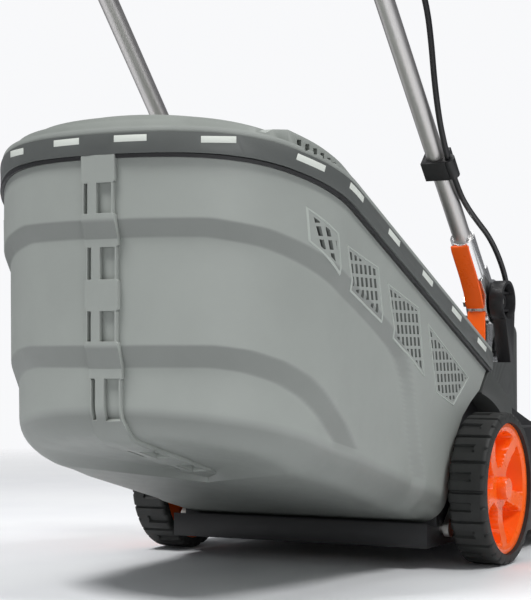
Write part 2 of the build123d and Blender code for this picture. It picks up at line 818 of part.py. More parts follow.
POD_TOP = ((-474, 446), (-468, 460), (-457, 468), (-445, 468.5), (-399, 448), (-357, 431), (-303, 410))
POD_REAR_Y = POD_TOP[0][0]
POD_FRONT_Y = POD_TOP[-1][0]
POD_INSET = 11
POD_WIDTH = 34
POD_FOOT = 26              # above the rim line, where the pods' outer sides start
POD_SLOT_WIDTH = 4.8
POD_SLOT_DEPTH = 18
POD_SLOT_PITCH = 9.5
POD_SLOT_TURN = 5
STRAIGHT_SLOTS = 8
CORNER_SLOTS = 7


def pod_top_z(y):
    """Height of the vent pods' top."""
    for (rear_y, rear_z), (front_y, front_z) in zip(POD_TOP, POD_TOP[1:]):
        if y <= front_y:
            return rear_z + (front_z - rear_z) * (y - rear_y) / (front_y - rear_y)
    return POD_TOP[-1][1]


def vent_pods():
    """Wedge-shaped vent housings that follow both edges of the lid."""
    with BuildPart() as pods:
        with BuildSketch(Plane.YZ):
            with BuildLine():
                Polyline(*POD_TOP, (POD_FRONT_Y, rim_z(POD_FRONT_Y) + RIM_HEIGHT), close=True)
            make_face()
        extrude(amount=300, both=True)
        add(collector_body(POD_INSET), mode=Mode.INTERSECT)
        add(collector_body(POD_INSET + POD_WIDTH), mode=Mode.SUBTRACT)
        with Locations((0, POD_REAR_Y, 440)):
            Box(200, 200, 200, mode=Mode.SUBTRACT)
    return pods.part


def pod_recess():
    """Space outside the pods, where the lid's steps give way to them."""
    length = POD_FRONT_Y - POD_REAR_Y
    with BuildPart() as recess:
        add(rim_slab(POD_FOOT, POD_FOOT + 30))
        with Locations((0, POD_REAR_Y + length / 2, 430)):
            Box(500, length, 200, mode=Mode.INTERSECT)
        add(collector_body(POD_INSET), mode=Mode.SUBTRACT)
    return recess.part


def pod_slots():
    """Upright slots in the outer side of both vent pods."""
    turns = [90] * STRAIGHT_SLOTS + [90 - POD_SLOT_TURN * (i + 1) for i in range(CORNER_SLOTS)]
    with BuildPart() as slots:
        for side in SIDES.values():
            for index, turn in enumerate(turns):
                x, y = outline_place(turn, 445)
                if turn == 90:
                    y = POD_FRONT_Y - 8 - POD_SLOT_PITCH * index
                y_here = y + POD_INSET * cos(radians(turn))
                top = pod_top_z(y_here) - 5
                bottom = rim_z(y_here) + POD_FOOT + 1
                out = Vector(side * sin(radians(turn)), -cos(radians(turn)), 0)
                middle = Vector(side * x, y, (top + bottom) / 2) - out * POD_INSET
                with Locations(Plane(middle, x_dir=(-out.Y, out.X, 0), z_dir=out)):
                    Box(POD_SLOT_WIDTH, top - bottom, 2 * POD_SLOT_DEPTH)
    return slots.part


def lid():
    """Domed lid with its carrying grip and vent pods, hollow below."""
    with BuildPart() as cover:
        with BuildSketch(Plane.XZ.offset(-LID_GRIP_Y - 9)):
            with Locations((0, rim_z(LID_GRIP_Y) + LID_RISE + RIM_HEIGHT + 12)):
                RectangleRounded(130, 50, 16)
                with Locations((0, -4)):
                    RectangleRounded(98, 22, 8, mode=Mode.SUBTRACT)
        extrude(amount=18)
        add(stacked(((-4, 20, 26), (6, 26, 34), (20, 34, 41), (38, 41, 47), (60, 47, 52))))
        add(pod_recess(), mode=Mode.SUBTRACT)
        add(vent_pods())
        add(pod_slots(), mode=Mode.SUBTRACT)
        add(stacked(((4, 0, 23), (15, 23, 31), (24, 31, 38), (42, 38, 44), (64, 44, 49))), mode=Mode.SUBTRACT)
    return cover.part


save(lid(), "collector_lid")


# ---- rear flap ----
FLAP_HALF_X = 148
FLAP_REAR_Y = -60
FLAP_LIFT = RIM_HEIGHT + LID_RISE + 0.6
SPRING_HALF_X = 20

with BuildPart() as rear_flap:
    with BuildSketch(Plane.YZ):
        with BuildLine():
            Polyline(
                (FLAP_REAR_Y, rim_z(FLAP_REAR_Y) + FLAP_LIFT), (56, rim_z(56) + FLAP_LIFT),
                (62, FLAP_PIVOT_Z + 4), (60, rim_z(60) + FLAP_LIFT + 5),
                (FLAP_REAR_Y, rim_z(FLAP_REAR_Y) + FLAP_LIFT + 4), close=True,
            )
        make_face()
    extrude(amount=FLAP_HALF_X, both=True)
    with BuildSketch(Plane((0, FLAP_PIVOT_Y, FLAP_PIVOT_Z), x_dir=(0, 1, 0), z_dir=(1, 0, 0))):
        Circle(6)
    extrude(amount=FLAP_HALF_X, both=True)
    with Locations((0, FLAP_PIVOT_Y, FLAP_PIVOT_Z - 1)):
        Box(2 * SPRING_HALF_X, 15, 14, mode=Mode.SUBTRACT)
    with BuildSketch(Plane((0, FLAP_PIVOT_Y, FLAP_PIVOT_Z), x_dir=(0, 1, 0), z_dir=(1, 0, 0))):
        Circle(FLAP_PIN_R + RUNNING_GAP)
    extrude(amount=FLAP_HALF_X, both=True, mode=Mode.SUBTRACT)

with BuildPart() as flap_pin:
    with BuildSketch(Plane((0, FLAP_PIVOT_Y, FLAP_PIVOT_Z), x_dir=(0, 1, 0), z_dir=(1, 0, 0))):
        Circle(FLAP_PIN_R)
    extrude(amount=158, both=True)

with BuildPart() as flap_spring:
    with BuildSketch(Plane((0, FLAP_PIVOT_Y, FLAP_PIVOT_Z), x_dir=(0, 1, 0), z_dir=(1, 0, 0))):
        Circle(4.6)
        Circle(FLAP_PIN_R + 0.2, mode=Mode.SUBTRACT)
    extrude(amount=14, both=True)
    for side in SIDES.values():
        with Locations((side * 13, FLAP_PIVOT_Y + 3.6, (FLAP_PIVOT_Z + SHOULDER_Z) / 2)):
            Box(2, 2, FLAP_PIVOT_Z - SHOULDER_Z)
save(rear_flap.part, "rear_flap")
save(flap_pin.part, "flap_pin")
save(flap_spring.part, "flap_spring")


# ---- handle brackets ----
FOOT_SCREW = (163, 60)


def pivot_plane(x):
    """Plane facing +X at the lower pivot, local x forward and local y up."""
    return Plane((x, PIVOT_Y, PIVOT_Z), x_dir=(0, 1, 0), z_dir=(1, 0, 0))


def handle_base(side):
    """Cast bracket: foot on the shoulder, pillar and eye for the clamp bolt."""
    with BuildPart() as base:
        with Locations((side * 170, 78, SHOULDER_Z + 3)):
            Box(26, 50, 6)
        with Locations((side * 172, 113, SHOULDER_Z + 3)):
            Box(16, 26, 6)
        with BuildSketch(pivot_plane(side * TUBE_X)):
            Circle(EAR_R - 1)
            with BuildLine():
                Polyline((-24, -12), (-24, -70), (8, -70), (25, -10), close=True)
            make_face()
            Circle(BOLT_R, mode=Mode.SUBTRACT)
        extrude(amount=BASE_THICK / 2, both=True)
        with Locations((side * FOOT_SCREW[0], FOOT_SCREW[1], SHOULDER_Z + 6)):
            Hole(2.1, 12)
    return base.part


def bracket_fasteners():
    """Clamp bolt through each bracket, and the screws that hold the feet to the chassis."""
    with BuildPart() as fasteners:
        for side in SIDES.values():
            with Locations((side * FOOT_SCREW[0], FOOT_SCREW[1], SHOULDER_Z + 7.5)):
                Cylinder(3.6, 3)
            with Locations((side * FOOT_SCREW[0], FOOT_SCREW[1], SHOULDER_Z + 3)):
                Cylinder(2.1, 6)
            with BuildSketch(Plane((side * 150, PIVOT_Y, PIVOT_Z), x_dir=(0, 1, 0), z_dir=(side, 0, 0))):
                Circle(BOLT_R)
            extrude(amount=46)
            with BuildSketch(Plane((side * 150, PIVOT_Y, PIVOT_Z), x_dir=(0, 1, 0), z_dir=(-side, 0, 0))):
                RegularPolygon(7, 6)
            extrude(amount=5)
    return fasteners.part


def socket(side):
    """Cast socket: two ears astride the bracket and a sleeve for the tube."""
    x = side * TUBE_X
    ear_x = BASE_THICK / 2 + SIDE_GAP + EAR_THICK / 2
    with BuildPart() as cast:
        with BuildSketch(handle_plane(x, 30)):
            Circle(15)
        extrude(amount=77)
        for offset in (-ear_x, ear_x):
            with BuildSketch(side_plane(x + offset, PIVOT_Y, PIVOT_Z)):
                Circle(EAR_R)
                with Locations((24, 0)):
                    Rectangle(48, 29)
            extrude(amount=EAR_THICK / 2, both=True)
        with BuildSketch(side_plane(x, PIVOT_Y, PIVOT_Z)):
            with Locations((36, 0)):
                Rectangle(14, 29)
        extrude(amount=ear_x + EAR_THICK / 2, both=True)
        with BuildSketch(handle_plane(x, 40)):
            Circle(TUBE_R)
        extrude(amount=80, mode=Mode.SUBTRACT)
        with BuildSketch(side_plane(x, PIVOT_Y, PIVOT_Z)):
            Circle(BOLT_R + RUNNING_GAP)
        extrude(amount=40, both=True, mode=Mode.SUBTRACT)
    return cast.part


def socket_trim():
    """Coloured strips along the rear face of both sockets."""
    with BuildPart() as strips:
        for side in SIDES.values():
            with BuildSketch(handle_plane(side * TUBE_X, 32)):
                with Locations((0, -17.2)):
                    Rectangle(20, 5)
            extrude(amount=75)
            with BuildSketch(handle_plane(side * TUBE_X, 30)):
                Circle(15)
            extrude(amount=80, mode=Mode.SUBTRACT)
    return strips.part


def socket_screws():
    """Round-head screws through the front of both sockets into the tubes."""
    with BuildPart() as screws:
        for side in SIDES.values():
            for distance in (58, 92):
                y, z = along_handle(distance, 15)
                with BuildSketch(Plane((side * TUBE_X, y, z), x_dir=(1, 0, 0), z_dir=(0, 0.716, 0.698))):
                    Circle(5)
                extrude(amount=4.5)
    return screws.part


for side_name, side in SIDES.items():
    save(handle_base(side), f"handle_base_{side_name}")
    save(socket(side), f"handle_socket_{side_name}")
save(bracket_fasteners(), "bracket_fasteners")
save(socket_trim(), "socket_trim")
save(socket_screws(), "socket_screws")


def clamp_lever(side):
    """Clamp lever: round hollow boss on the bolt and a paddle hanging from it."""
    boss_r = 26
    inner_x = side * 186.5
    lean = radians(8)
    with BuildPart() as lever:
        with BuildSketch(Plane((inner_x, PIVOT_Y, PIVOT_Z), x_dir=(0, 1, 0), z_dir=(side, 0, 0)) if side > 0
                         else Plane((inner_x, PIVOT_Y, PIVOT_Z), x_dir=(0, -1, 0), z_dir=(side, 0, 0))):
            Circle(boss_r)
            with BuildLine():
                Polyline(
                    (-side * 14, -18), (side * 22, -14), (side * (6 + 75 * sin(lean)), -76),
                    (side * (-5 + 75 * sin(lean)), -76), close=True,
                )
            make_face()
        extrude(amount=17)
        with BuildSketch(Plane((side * 191, PIVOT_Y, PIVOT_Z), x_dir=(0, 1, 0), z_dir=(side, 0, 0))):
            Circle(boss_r - 4)
        extrude(amount=20, mode=Mode.SUBTRACT)
        with BuildSketch(Plane((side * 188, PIVOT_Y, PIVOT_Z), x_dir=(0, 1, 0), z_dir=(side, 0, 0))):
            Circle(8)
            with Locations((0, 11), (0, -11)):
                Rectangle(2 * boss_r - 12, 3)
        extrude(amount=9)
        with BuildSketch(Plane((inner_x, PIVOT_Y, PIVOT_Z), x_dir=(0, 1, 0), z_dir=(side, 0, 0))):
            Circle(BOLT_R + RUNNING_GAP)
        extrude(amount=20, both=True, mode=Mode.SUBTRACT)
    return lever.part


# ---- tubes, knobs and grip ----
def lower_tube(side):
    """Straight tube from its socket past the mid joint."""
    with BuildPart() as tube:
        with BuildSketch(handle_plane(side * TUBE_X, 40)):
            Circle(TUBE_R)
            Circle(TUBE_R - TUBE_WALL, mode=Mode.SUBTRACT)
        extrude(amount=MID_JOINT_D + 22 - 40)
        y, z = along_handle(MID_JOINT_D)
        with BuildSketch(side_plane(side * TUBE_X, y, z)):
            Circle(3)
        extrude(amount=20, both=True, mode=Mode.SUBTRACT)
    return tube.part


def handle_sheet(forward):
    """Plane along both tubes: local x is +X, local y runs up the tubes from the pivot."""
    y, z = along_handle(0, forward)
    lean = radians(HANDLE_LEAN)
    return Plane(origin=(0, y, z), x_dir=(1, 0, 0), z_dir=(0, -cos(lean), -sin(lean)))


def bent_bar(points, bend_r, bar_r, bore_r, forward=0.0):
    """Round bar or tube along a bent path that lies in the handle's plane."""
    start_x, start_d = points[0]
    with BuildPart() as bar:
        with BuildLine(handle_sheet(forward)):
            FilletPolyline(*points, radius=bend_r)
        with BuildSketch(handle_plane(start_x, start_d, forward)):
            Circle(bar_r)
            if bore_r:
                Circle(bore_r, mode=Mode.SUBTRACT)
        sweep()
    return bar.part


def upper_bar():
    """U-shaped upper tube with bores for the mid joint."""
    foot_d = MID_JOINT_D - 22
    corners = [(-UPPER_X, foot_d), (-UPPER_X, HANDLE_TOP_D), (UPPER_X, HANDLE_TOP_D), (UPPER_X, foot_d)]
    y, z = along_handle(MID_JOINT_D)
    with BuildPart() as bar:
        add(bent_bar(corners, 60, TUBE_R, TUBE_R - TUBE_WALL))
        with BuildSketch(side_plane(0, y, z)):
            Circle(3 + RUNNING_GAP)
        extrude(amount=TUBE_X, both=True, mode=Mode.SUBTRACT)
    return bar.part


def knob(side):
    """Lobed hand nut at the mid joint."""
    y, z = along_handle(MID_JOINT_D)
    face = Plane((side * 183, y, z), x_dir=(0, 1, 0), z_dir=(side, 0, 0))
    with BuildPart() as nut:
        with BuildSketch(face):
            Circle(15)
            with PolarLocations(13, 4):
                Circle(8)
        extrude(amount=14)
        with BuildSketch(face):
            Circle(3 + RUNNING_GAP)
        extrude(amount=12, mode=Mode.SUBTRACT)
    return nut.part


def knob_bolts():
    """Bolts across both mid joints."""
    y, z = along_handle(MID_JOINT_D)
    with BuildPart() as bolts:
        for side in SIDES.values():
            with BuildSketch(Plane((side * 135.5, y, z), x_dir=(0, 1, 0), z_dir=(side, 0, 0))):
                Circle(3)
            extrude(amount=58)
            with BuildSketch(Plane((side * 135.5, y, z), x_dir=(0, 1, 0), z_dir=(-side, 0, 0))):
                Circle(7)
            extrude(amount=4)
    return bolts.part


def grip_sleeve():
    """Foam sleeve on the cross bar."""
    y, z = along_handle(HANDLE_TOP_D)
    with BuildPart() as sleeve:
        with BuildSketch(side_plane(0, y, z)):
            Circle(15)
            Circle(TUBE_R, mode=Mode.SUBTRACT)
        extrude(amount=78, both=True)
    return sleeve.part


for side_name, side in SIDES.items():
    save(clamp_lever(side), f"clamp_lever_{side_name}")
    save(lower_tube(side), f"lower_tube_{side_name}")
    save(knob(side), f"knob_{side_name}")
save(knob_bolts(), "knob_bolts")
save(upper_bar(), "upper_handle")
save(grip_sleeve(), "grip_sleeve")


# ---- switch box and bail ----
BOX_LOW_D = 780
BOX_HIGH_D = 890
BOX_X = 149
BOX_WIDTH = 58
BOX_REAR_F = -15
BOX_SPLIT_F = 12
BOX_FRONT_F = 44
BOX_WALL = 3
BAIL_D = 850
BAIL_F = 28
BAIL_X = 112
BAIL_LEG = 105
BAIL_REST = 27             # released angle in front of the cross bar
BAIL_R = 4
BUTTON_R = 9
BUTTON_D = 815
CABLE_EXIT_X = 165
CABLE_EXIT_F = 20
INLET_X = 141
INLET_F = 26
PIN_R = 2.4
PIN_SPACING = 19
PIN_LENGTH = 19


def box_half(rear_f, front_f, open_front):
    """One half of the switch box, hollow towards the other half."""
    middle_d = (BOX_LOW_D + BOX_HIGH_D) / 2
    length = BOX_HIGH_D - BOX_LOW_D
    cavity_rear = rear_f + (BOX_WALL if open_front else 0)
    cavity_depth = front_f - rear_f - BOX_WALL
    with BuildPart() as half:
        with BuildSketch(handle_sheet(rear_f)):
            with Locations((BOX_X, middle_d)):
                RectangleRounded(BOX_WIDTH, length, 10)
        extrude(amount=rear_f - front_f)
        with BuildSketch(handle_sheet(cavity_rear)):
            with Locations((BOX_X, middle_d)):
                RectangleRounded(BOX_WIDTH - 2 * BOX_WALL, length - 2 * BOX_WALL, 7)
        extrude(amount=-cavity_depth, mode=Mode.SUBTRACT)
        with BuildSketch(handle_plane(UPPER_X, BOX_LOW_D - 5)):
            Circle(TUBE_R)
        extrude(amount=length + 10, mode=Mode.SUBTRACT)
    return half.part


def switch_cover():
    """Front half: button hole, bail bore, cable exit and the inlet's well."""
    with BuildPart() as cover:
        add(box_half(BOX_SPLIT_F, BOX_FRONT_F, False))
        with BuildSketch(handle_plane(INLET_X, BOX_LOW_D, INLET_F)):
            RectangleRounded(38, 27, 5)
        extrude(amount=24)
        with BuildSketch(handle_plane(INLET_X, BOX_LOW_D, INLET_F)):
            RectangleRounded(34, 23, 4)
        extrude(amount=21, mode=Mode.SUBTRACT)
        with BuildSketch(handle_sheet(BOX_FRONT_F + 5)):
            with Locations((BOX_X, BUTTON_D)):
                Circle(BUTTON_R + 0.3)
        extrude(amount=12, mode=Mode.SUBTRACT)
        y, z = along_handle(BAIL_D, BAIL_F)
        with BuildSketch(side_plane(BOX_X - BOX_WIDTH / 2 - 2, y, z)):
            Circle(BAIL_R + RUNNING_GAP)
        extrude(amount=12, mode=Mode.SUBTRACT)
        with BuildSketch(handle_plane(CABLE_EXIT_X, BOX_LOW_D - 1, CABLE_EXIT_F)):
            Circle(CABLE_R)
        extrude(amount=BOX_WALL + 2, mode=Mode.SUBTRACT)
    return cover.part


def inlet_pins():
    """Two round pins in the inlet's well."""
    with BuildPart() as pins:
        with BuildSketch(handle_plane(INLET_X, BOX_LOW_D + 2, INLET_F)):
            with GridLocations(PIN_SPACING, 0, 2, 1):
                Circle(PIN_R)
        extrude(amount=PIN_LENGTH)
    return pins.part


def lock_button():
    """Round safety button with a collar inside the cover."""
    with BuildPart() as button:
        with BuildSketch(handle_sheet(BOX_FRONT_F + 6)):
            with Locations((BOX_X, BUTTON_D)):
                Circle(BUTTON_R)
        extrude(amount=13)
        with BuildSketch(handle_sheet(BOX_FRONT_F - BOX_WALL - 1)):
            with Locations((BOX_X, BUTTON_D)):
                Circle(BUTTON_R + 2)
        extrude(amount=3)
    return button.part


def bail():
    """Bail lever: bent rod with in-turned ends, tilted forward when released."""
    lean = radians(BAIL_REST)
    tip_d = BAIL_D + BAIL_LEG * cos(lean)
    tip_f = BAIL_F + BAIL_LEG * sin(lean)
    base_y, base_z = along_handle(BAIL_D, BAIL_F)
    tip_y, tip_z = along_handle(tip_d, tip_f)
    right_end = BOX_X - BOX_WIDTH / 2 + 8
    left_end = -UPPER_X + 4
    with BuildPart() as rod:
        with BuildLine():
            FilletPolyline(
                (left_end, base_y, base_z), (-BAIL_X, base_y, base_z), (-BAIL_X, tip_y, tip_z),
                (BAIL_X, tip_y, tip_z), (BAIL_X, base_y, base_z), (right_end, base_y, base_z),
                radius=[7, 30, 30, 7],
            )
        with BuildSketch(Plane((left_end, base_y, base_z), x_dir=(0, 1, 0), z_dir=(1, 0, 0))):
            Circle(BAIL_R)
        sweep()
    return rod.part


def bail_pivot():
    """Clip on the left leg that carries the bail's other end."""
    y, z = along_handle(BAIL_D, BAIL_F)
    with BuildPart() as clip:
        with BuildSketch(handle_plane(-UPPER_X, BAIL_D - 11)):
            Circle(TUBE_R + 4)
            with Locations((0, 18)):
                Rectangle(20, 34)
            Circle(TUBE_R, mode=Mode.SUBTRACT)
        extrude(amount=22)
        with BuildSketch(side_plane(-UPPER_X + 2, y, z)):
            Circle(BAIL_R + RUNNING_GAP)
        extrude(amount=20, mode=Mode.SUBTRACT)
    return clip.part


save(box_half(BOX_REAR_F, BOX_SPLIT_F, True), "switch_box")
save(switch_cover(), "switch_cover")
save(inlet_pins(), "inlet_pins")
save(lock_button(), "lock_button")
save(bail(), "bail_lever")
save(bail_pivot(), "bail_pivot")


# ---- height lever ----
with BuildPart() as height_lever:
    with BuildSketch(Plane((LEVER_X, LEVER_Y, LEVER_Z), x_dir=(0, 1, 0), z_dir=(1, 0, 0))):
        Circle(9)
        with BuildLine():
            Polyline((-5, 0), (-4, 96), (4, 96), (5, 0), close=True)
        make_face()
        Circle(LEVER_PIN_R + RUNNING_GAP, mode=Mode.SUBTRACT)
    extrude(amount=2.5, both=True)
    with BuildSketch(Plane.XY.offset(LEVER_Z + 92)):
        with Locations((LEVER_X, LEVER_Y)):
            RectangleRounded(16, 24, 6)
    extrude(amount=30)
save(height_lever.part, "height_lever")


# ---- cable ----
CLIP_D = 207
CLIP_LENGTH = 26
CLIP_CABLE_X = 187
CLIP_CABLE_F = -6
GLAND = (172, 118)

with BuildPart() as cable_gland:
    with Locations((GLAND[0], GLAND[1], SHOULDER_Z + 6 + 4)):
        Cylinder(7, 8)
    with Locations((GLAND[0], GLAND[1], SHOULDER_Z + 6 + 4)):
        Cylinder(CABLE_R + 1, 8, mode=Mode.SUBTRACT)

with BuildPart() as cable_clip:
    with BuildSketch(handle_plane(TUBE_X, CLIP_D)):
        Rectangle(30, 30)
        with Locations((CLIP_CABLE_X - TUBE_X, CLIP_CABLE_F)):
            Circle(8)
        Circle(TUBE_R, mode=Mode.SUBTRACT)
        with Locations((CLIP_CABLE_X - TUBE_X, CLIP_CABLE_F)):
            Circle(CABLE_R, mode=Mode.SUBTRACT)
    extrude(amount=CLIP_LENGTH)
save(cable_gland.part, "cable_gland")
save(cable_clip.part, "cable_clip")


def route_radii(points):
    """Arc radius at each inner point, as large as its two runs allow."""
    vectors = [Vector(*b) - Vector(*a) for a, b in zip(points, points[1:])]
    radii = []
    for before, after in zip(vectors, vectors[1:]):
        half_turn = radians(before.get_angle(after)) / 2
        radii.append(0.45 * min(before.length, after.length) / tan(half_turn))
    return radii


def cable(points, name):
    """Round cable along a hand-laid route of straight runs and tangent arcs."""
    radii = route_radii(points)
    print(name, "radii", [round(radius) for radius in radii])
    start = Vector(*points[0])
    with BuildPart() as run:
        with BuildLine() as path:
            FilletPolyline(*points, radius=radii)
        with BuildSketch(Plane(origin=start, z_dir=Vector(*points[1]) - start)):
            Circle(CABLE_R)
        sweep()
    length = sum(edge.length for edge in path.edges())
    print(name, "length", round(length), "volume ratio", round(run.part.volume / (length * 38.485), 3))
    return run.part


clip_high_y, clip_high_z = along_handle(CLIP_D + CLIP_LENGTH, CLIP_CABLE_F)
exit_y, exit_z = along_handle(BOX_LOW_D, CABLE_EXIT_F)

LOWER_ROUTE = [
    (CLIP_CABLE_X, clip_high_y, clip_high_z), (187, -42, 443), (185, -2, 424), (183.5, 38, 410),
    (182, 80, 396), (181, 118, 374), (180.5, 148, 346), (180, 160, 313), (178.5, 149, 288),
    (174.5, 129, 271), (172.2, 119, 260), (GLAND[0], GLAND[1], SHOULDER_Z + 7),
]
UPPER_ROUTE = [
    (CLIP_CABLE_X, clip_high_y, clip_high_z), (188.5, -98, 503), (190.5, -117, 533), (191.5, -130, 566),
    (192, -139, 602), (191, -149, 640), (187.5, -168, 676), (182.5, -197, 708), (177, -234, 735),
    (172.5, -274, 759), (169, -315, 783), (166.5, -352, 810), (165.5, -384, 838), (165, -412, 862.5),
    (CABLE_EXIT_X, exit_y, exit_z),
]
save(cable(LOWER_ROUTE, "cable_lower"), "cable_lower")
save(cable(UPPER_ROUTE, "cable_upper"), "cable_upper")
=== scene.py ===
import json
import math

import bmesh
import bpy
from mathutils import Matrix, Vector


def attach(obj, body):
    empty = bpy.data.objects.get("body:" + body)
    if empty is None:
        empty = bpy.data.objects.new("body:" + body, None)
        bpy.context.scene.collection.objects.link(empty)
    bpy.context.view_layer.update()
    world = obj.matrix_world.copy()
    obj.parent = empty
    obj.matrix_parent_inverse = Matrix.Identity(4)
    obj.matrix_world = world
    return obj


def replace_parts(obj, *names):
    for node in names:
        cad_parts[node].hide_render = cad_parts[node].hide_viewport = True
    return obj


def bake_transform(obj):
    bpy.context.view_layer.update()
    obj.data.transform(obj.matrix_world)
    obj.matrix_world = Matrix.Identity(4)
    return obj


# Push mower with a rigid rear collector. Metres, +X operator's right, +Y forward, +Z up.

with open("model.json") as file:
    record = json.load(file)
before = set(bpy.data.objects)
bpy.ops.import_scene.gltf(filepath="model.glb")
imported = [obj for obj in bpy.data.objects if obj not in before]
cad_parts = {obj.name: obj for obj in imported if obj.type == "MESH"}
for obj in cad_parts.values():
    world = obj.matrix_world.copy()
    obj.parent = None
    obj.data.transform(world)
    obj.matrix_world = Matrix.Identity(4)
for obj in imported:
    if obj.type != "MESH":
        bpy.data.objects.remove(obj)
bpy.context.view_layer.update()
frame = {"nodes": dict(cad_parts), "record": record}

# ---- dimensions in metres, most of them shared with the CAD model ----
REAR_R, FRONT_R = 0.090, 0.075
WHEEL_IN_X, WHEEL_WIDTH = 0.190, 0.045
WHEELBASE = 0.400
RIM_FRONT_Z, RIM_SLOPE = 0.250, 0.39
RIM_KNEE_Y, RIM_REAR_Y = -0.455, -0.535
COLLECTOR_REAR_Y, CORNER_R, BOW_R = -0.534, 0.120, 0.220
HALF_WIDTH, SIDE_REF_Z, SIDE_TAPER = 0.196, 0.350, 0.05
FLOOR_Z, FLOOR_SLOPE, FLOOR_EDGE_R = 0.0356, 0.237, 0.038
WALL = 0.003
STEP_UPPER, STEP_LOWER = 0.007, 0.015
STEP_BLEND_UPPER, STEP_BLEND_LOWER = 0.009, 0.011
HANDLE_LEAN = math.radians(44.3)
PIVOT_Y, PIVOT_Z = 0.092, 0.315
CABLE_R = 0.0035


def along_handle(distance, forward=0.0):
    """(y, z) at a distance from the lower pivot, and an offset in front of the tubes."""
    s, c = math.sin(HANDLE_LEAN), math.cos(HANDLE_LEAN)
    return PIVOT_Y - distance * s + forward * c, PIVOT_Z + distance * c + forward * s


# ---- camera ----
camera_data = bpy.data.cameras.new("camera")
camera_data.sensor_fit = "AUTO"
camera_data.sensor_width = 36.0
camera_data.lens = 102.6
camera_data.clip_start = 0.05
camera_data.clip_end = 50.0
camera = bpy.data.objects.new("camera", camera_data)
camera.location = (0.9002, -1.9423, 0.2457)
camera.rotation_euler = (math.radians(91.91), 0.0, math.radians(27.01))
bpy.context.scene.collection.objects.link(camera)
bpy.context.scene.camera = camera


# ---- materials ----
def new_material(name):
    """Node material and its shader."""
    material = bpy.data.materials.new(name)
    material.use_nodes = True
    shader = material.node_tree.nodes["Principled BSDF"]
    return material, shader


def noise(tree, scale, detail=4.0, roughness=0.6, stretch=(1, 1, 1)):
    """Noise in object space, stretched along the axes."""
    coordinates = tree.nodes.new("ShaderNodeTexCoord")
    mapping = tree.nodes.new("ShaderNodeMapping")
    mapping.inputs["Scale"].default_value = stretch
    texture = tree.nodes.new("ShaderNodeTexNoise")
    texture.inputs["Scale"].default_value = scale
    texture.inputs["Detail"].default_value = detail
    texture.inputs["Roughness"].default_value = roughness
    tree.links.new(coordinates.outputs["Object"], mapping.inputs["Vector"])
    tree.links.new(mapping.outputs["Vector"], texture.inputs["Vector"])
    return texture.outputs["Fac"]


def ramp(tree, factor, low, high, from_low=0.35, from_high=0.65):
    """Colours from low to high as the factor rises."""
    node = tree.nodes.new("ShaderNodeValToRGB")
    node.color_ramp.elements[0].position = from_low
    node.color_ramp.elements[1].position = from_high
    node.color_ramp.elements[0].color = (*low, 1)
    node.color_ramp.elements[1].color = (*high, 1)
    tree.links.new(factor, node.inputs["Fac"])
    return node.outputs["Color"]


def spread(tree, factor, low, high):
    """The factor, mapped from 0.3..0.7 to low..high."""
    node = tree.nodes.new("ShaderNodeMapRange")
    node.inputs["From Min"].default_value = 0.3
    node.inputs["From Max"].default_value = 0.7
    node.inputs["To Min"].default_value = low
    node.inputs["To Max"].default_value = high
    tree.links.new(factor, node.inputs["Value"])
    return node.outputs["Result"]


def add_bump(tree, shader, height, strength, distance):
    """Fine relief from a height signal."""
    node = tree.nodes.new("ShaderNodeBump")
    node.inputs["Strength"].default_value = strength
    node.inputs["Distance"].default_value = distance
    tree.links.new(height, node.inputs["Height"])
    tree.links.new(node.outputs["Normal"], shader.inputs["Normal"])


def shaded(colour, factor):
    """The colour, made lighter or darker."""
    return tuple(min(1.0, channel * factor) for channel in colour)


def shaded_below(tree, colour):
    """The colour, darkened where the surface turns down: painted shade."""
    coordinates = tree.nodes.new("ShaderNodeTexCoord")
    parts = tree.nodes.new("ShaderNodeSeparateXYZ")
    tree.links.new(coordinates.outputs["Normal"], parts.inputs["Vector"])
    depth = tree.nodes.new("ShaderNodeMapRange")
    depth.inputs["From Min"].default_value = -0.32
    depth.inputs["From Max"].default_value = -0.07
    depth.inputs["To Min"].default_value = 0.66
    depth.inputs["To Max"].default_value = 1.0
    tree.links.new(parts.outputs["Z"], depth.inputs["Value"])
    scaled = tree.nodes.new("ShaderNodeVectorMath")
    scaled.operation = "SCALE"
    tree.links.new(colour, scaled.inputs["Vector"])
    tree.links.new(depth.outputs["Result"], scaled.inputs["Scale"])
    return scaled.outputs["Vector"]


def plastic(
    name, colour, roughness, grain=2200.0, relief=0.00006, variation=0.05, spots=9.0, painted_underside_shade=False,
):
    """Moulded plastic: cloudy colour, spark-eroded grain and uneven gloss, with painted shade on
    down-facing surfaces if asked.
    """
    material, shader = new_material(name)
    tree = material.node_tree
    cloud = noise(tree, spots, 5.0)
    base = ramp(tree, cloud, shaded(colour, 1 - variation), shaded(colour, 1 + variation))
    # painted shade: the base colour goes darker where the surface faces down
    if painted_underside_shade:
        base = shaded_below(tree, base)
    tree.links.new(base, shader.inputs["Base Color"])
    handled = noise(tree, 38.0, 6.0, 0.7)
    tree.links.new(spread(tree, handled, roughness - 0.05, roughness + 0.06), shader.inputs["Roughness"])
    add_bump(tree, shader, noise(tree, grain, 2.0), 0.35, relief)
    shader.inputs["Specular IOR Level"].default_value = 0.45
    return material


def metal(name, colour, roughness, stretch=(1, 1, 1), streaks=900.0, relief=0.00002):
    """Bare metal with fine streaks along one axis."""
    material, shader = new_material(name)
    tree = material.node_tree
    lines = noise(tree, streaks, 3.0, 0.6, stretch)
    base = ramp(tree, lines, shaded(colour, 0.92), shaded(colour, 1.04))
    tree.links.new(base, shader.inputs["Base Color"])
    shader.inputs["Metallic"].default_value = 1.0
    tree.links.new(spread(tree, lines, roughness - 0.05, roughness + 0.07), shader.inputs["Roughness"])
    add_bump(tree, shader, lines, 0.3, relief)
    return material


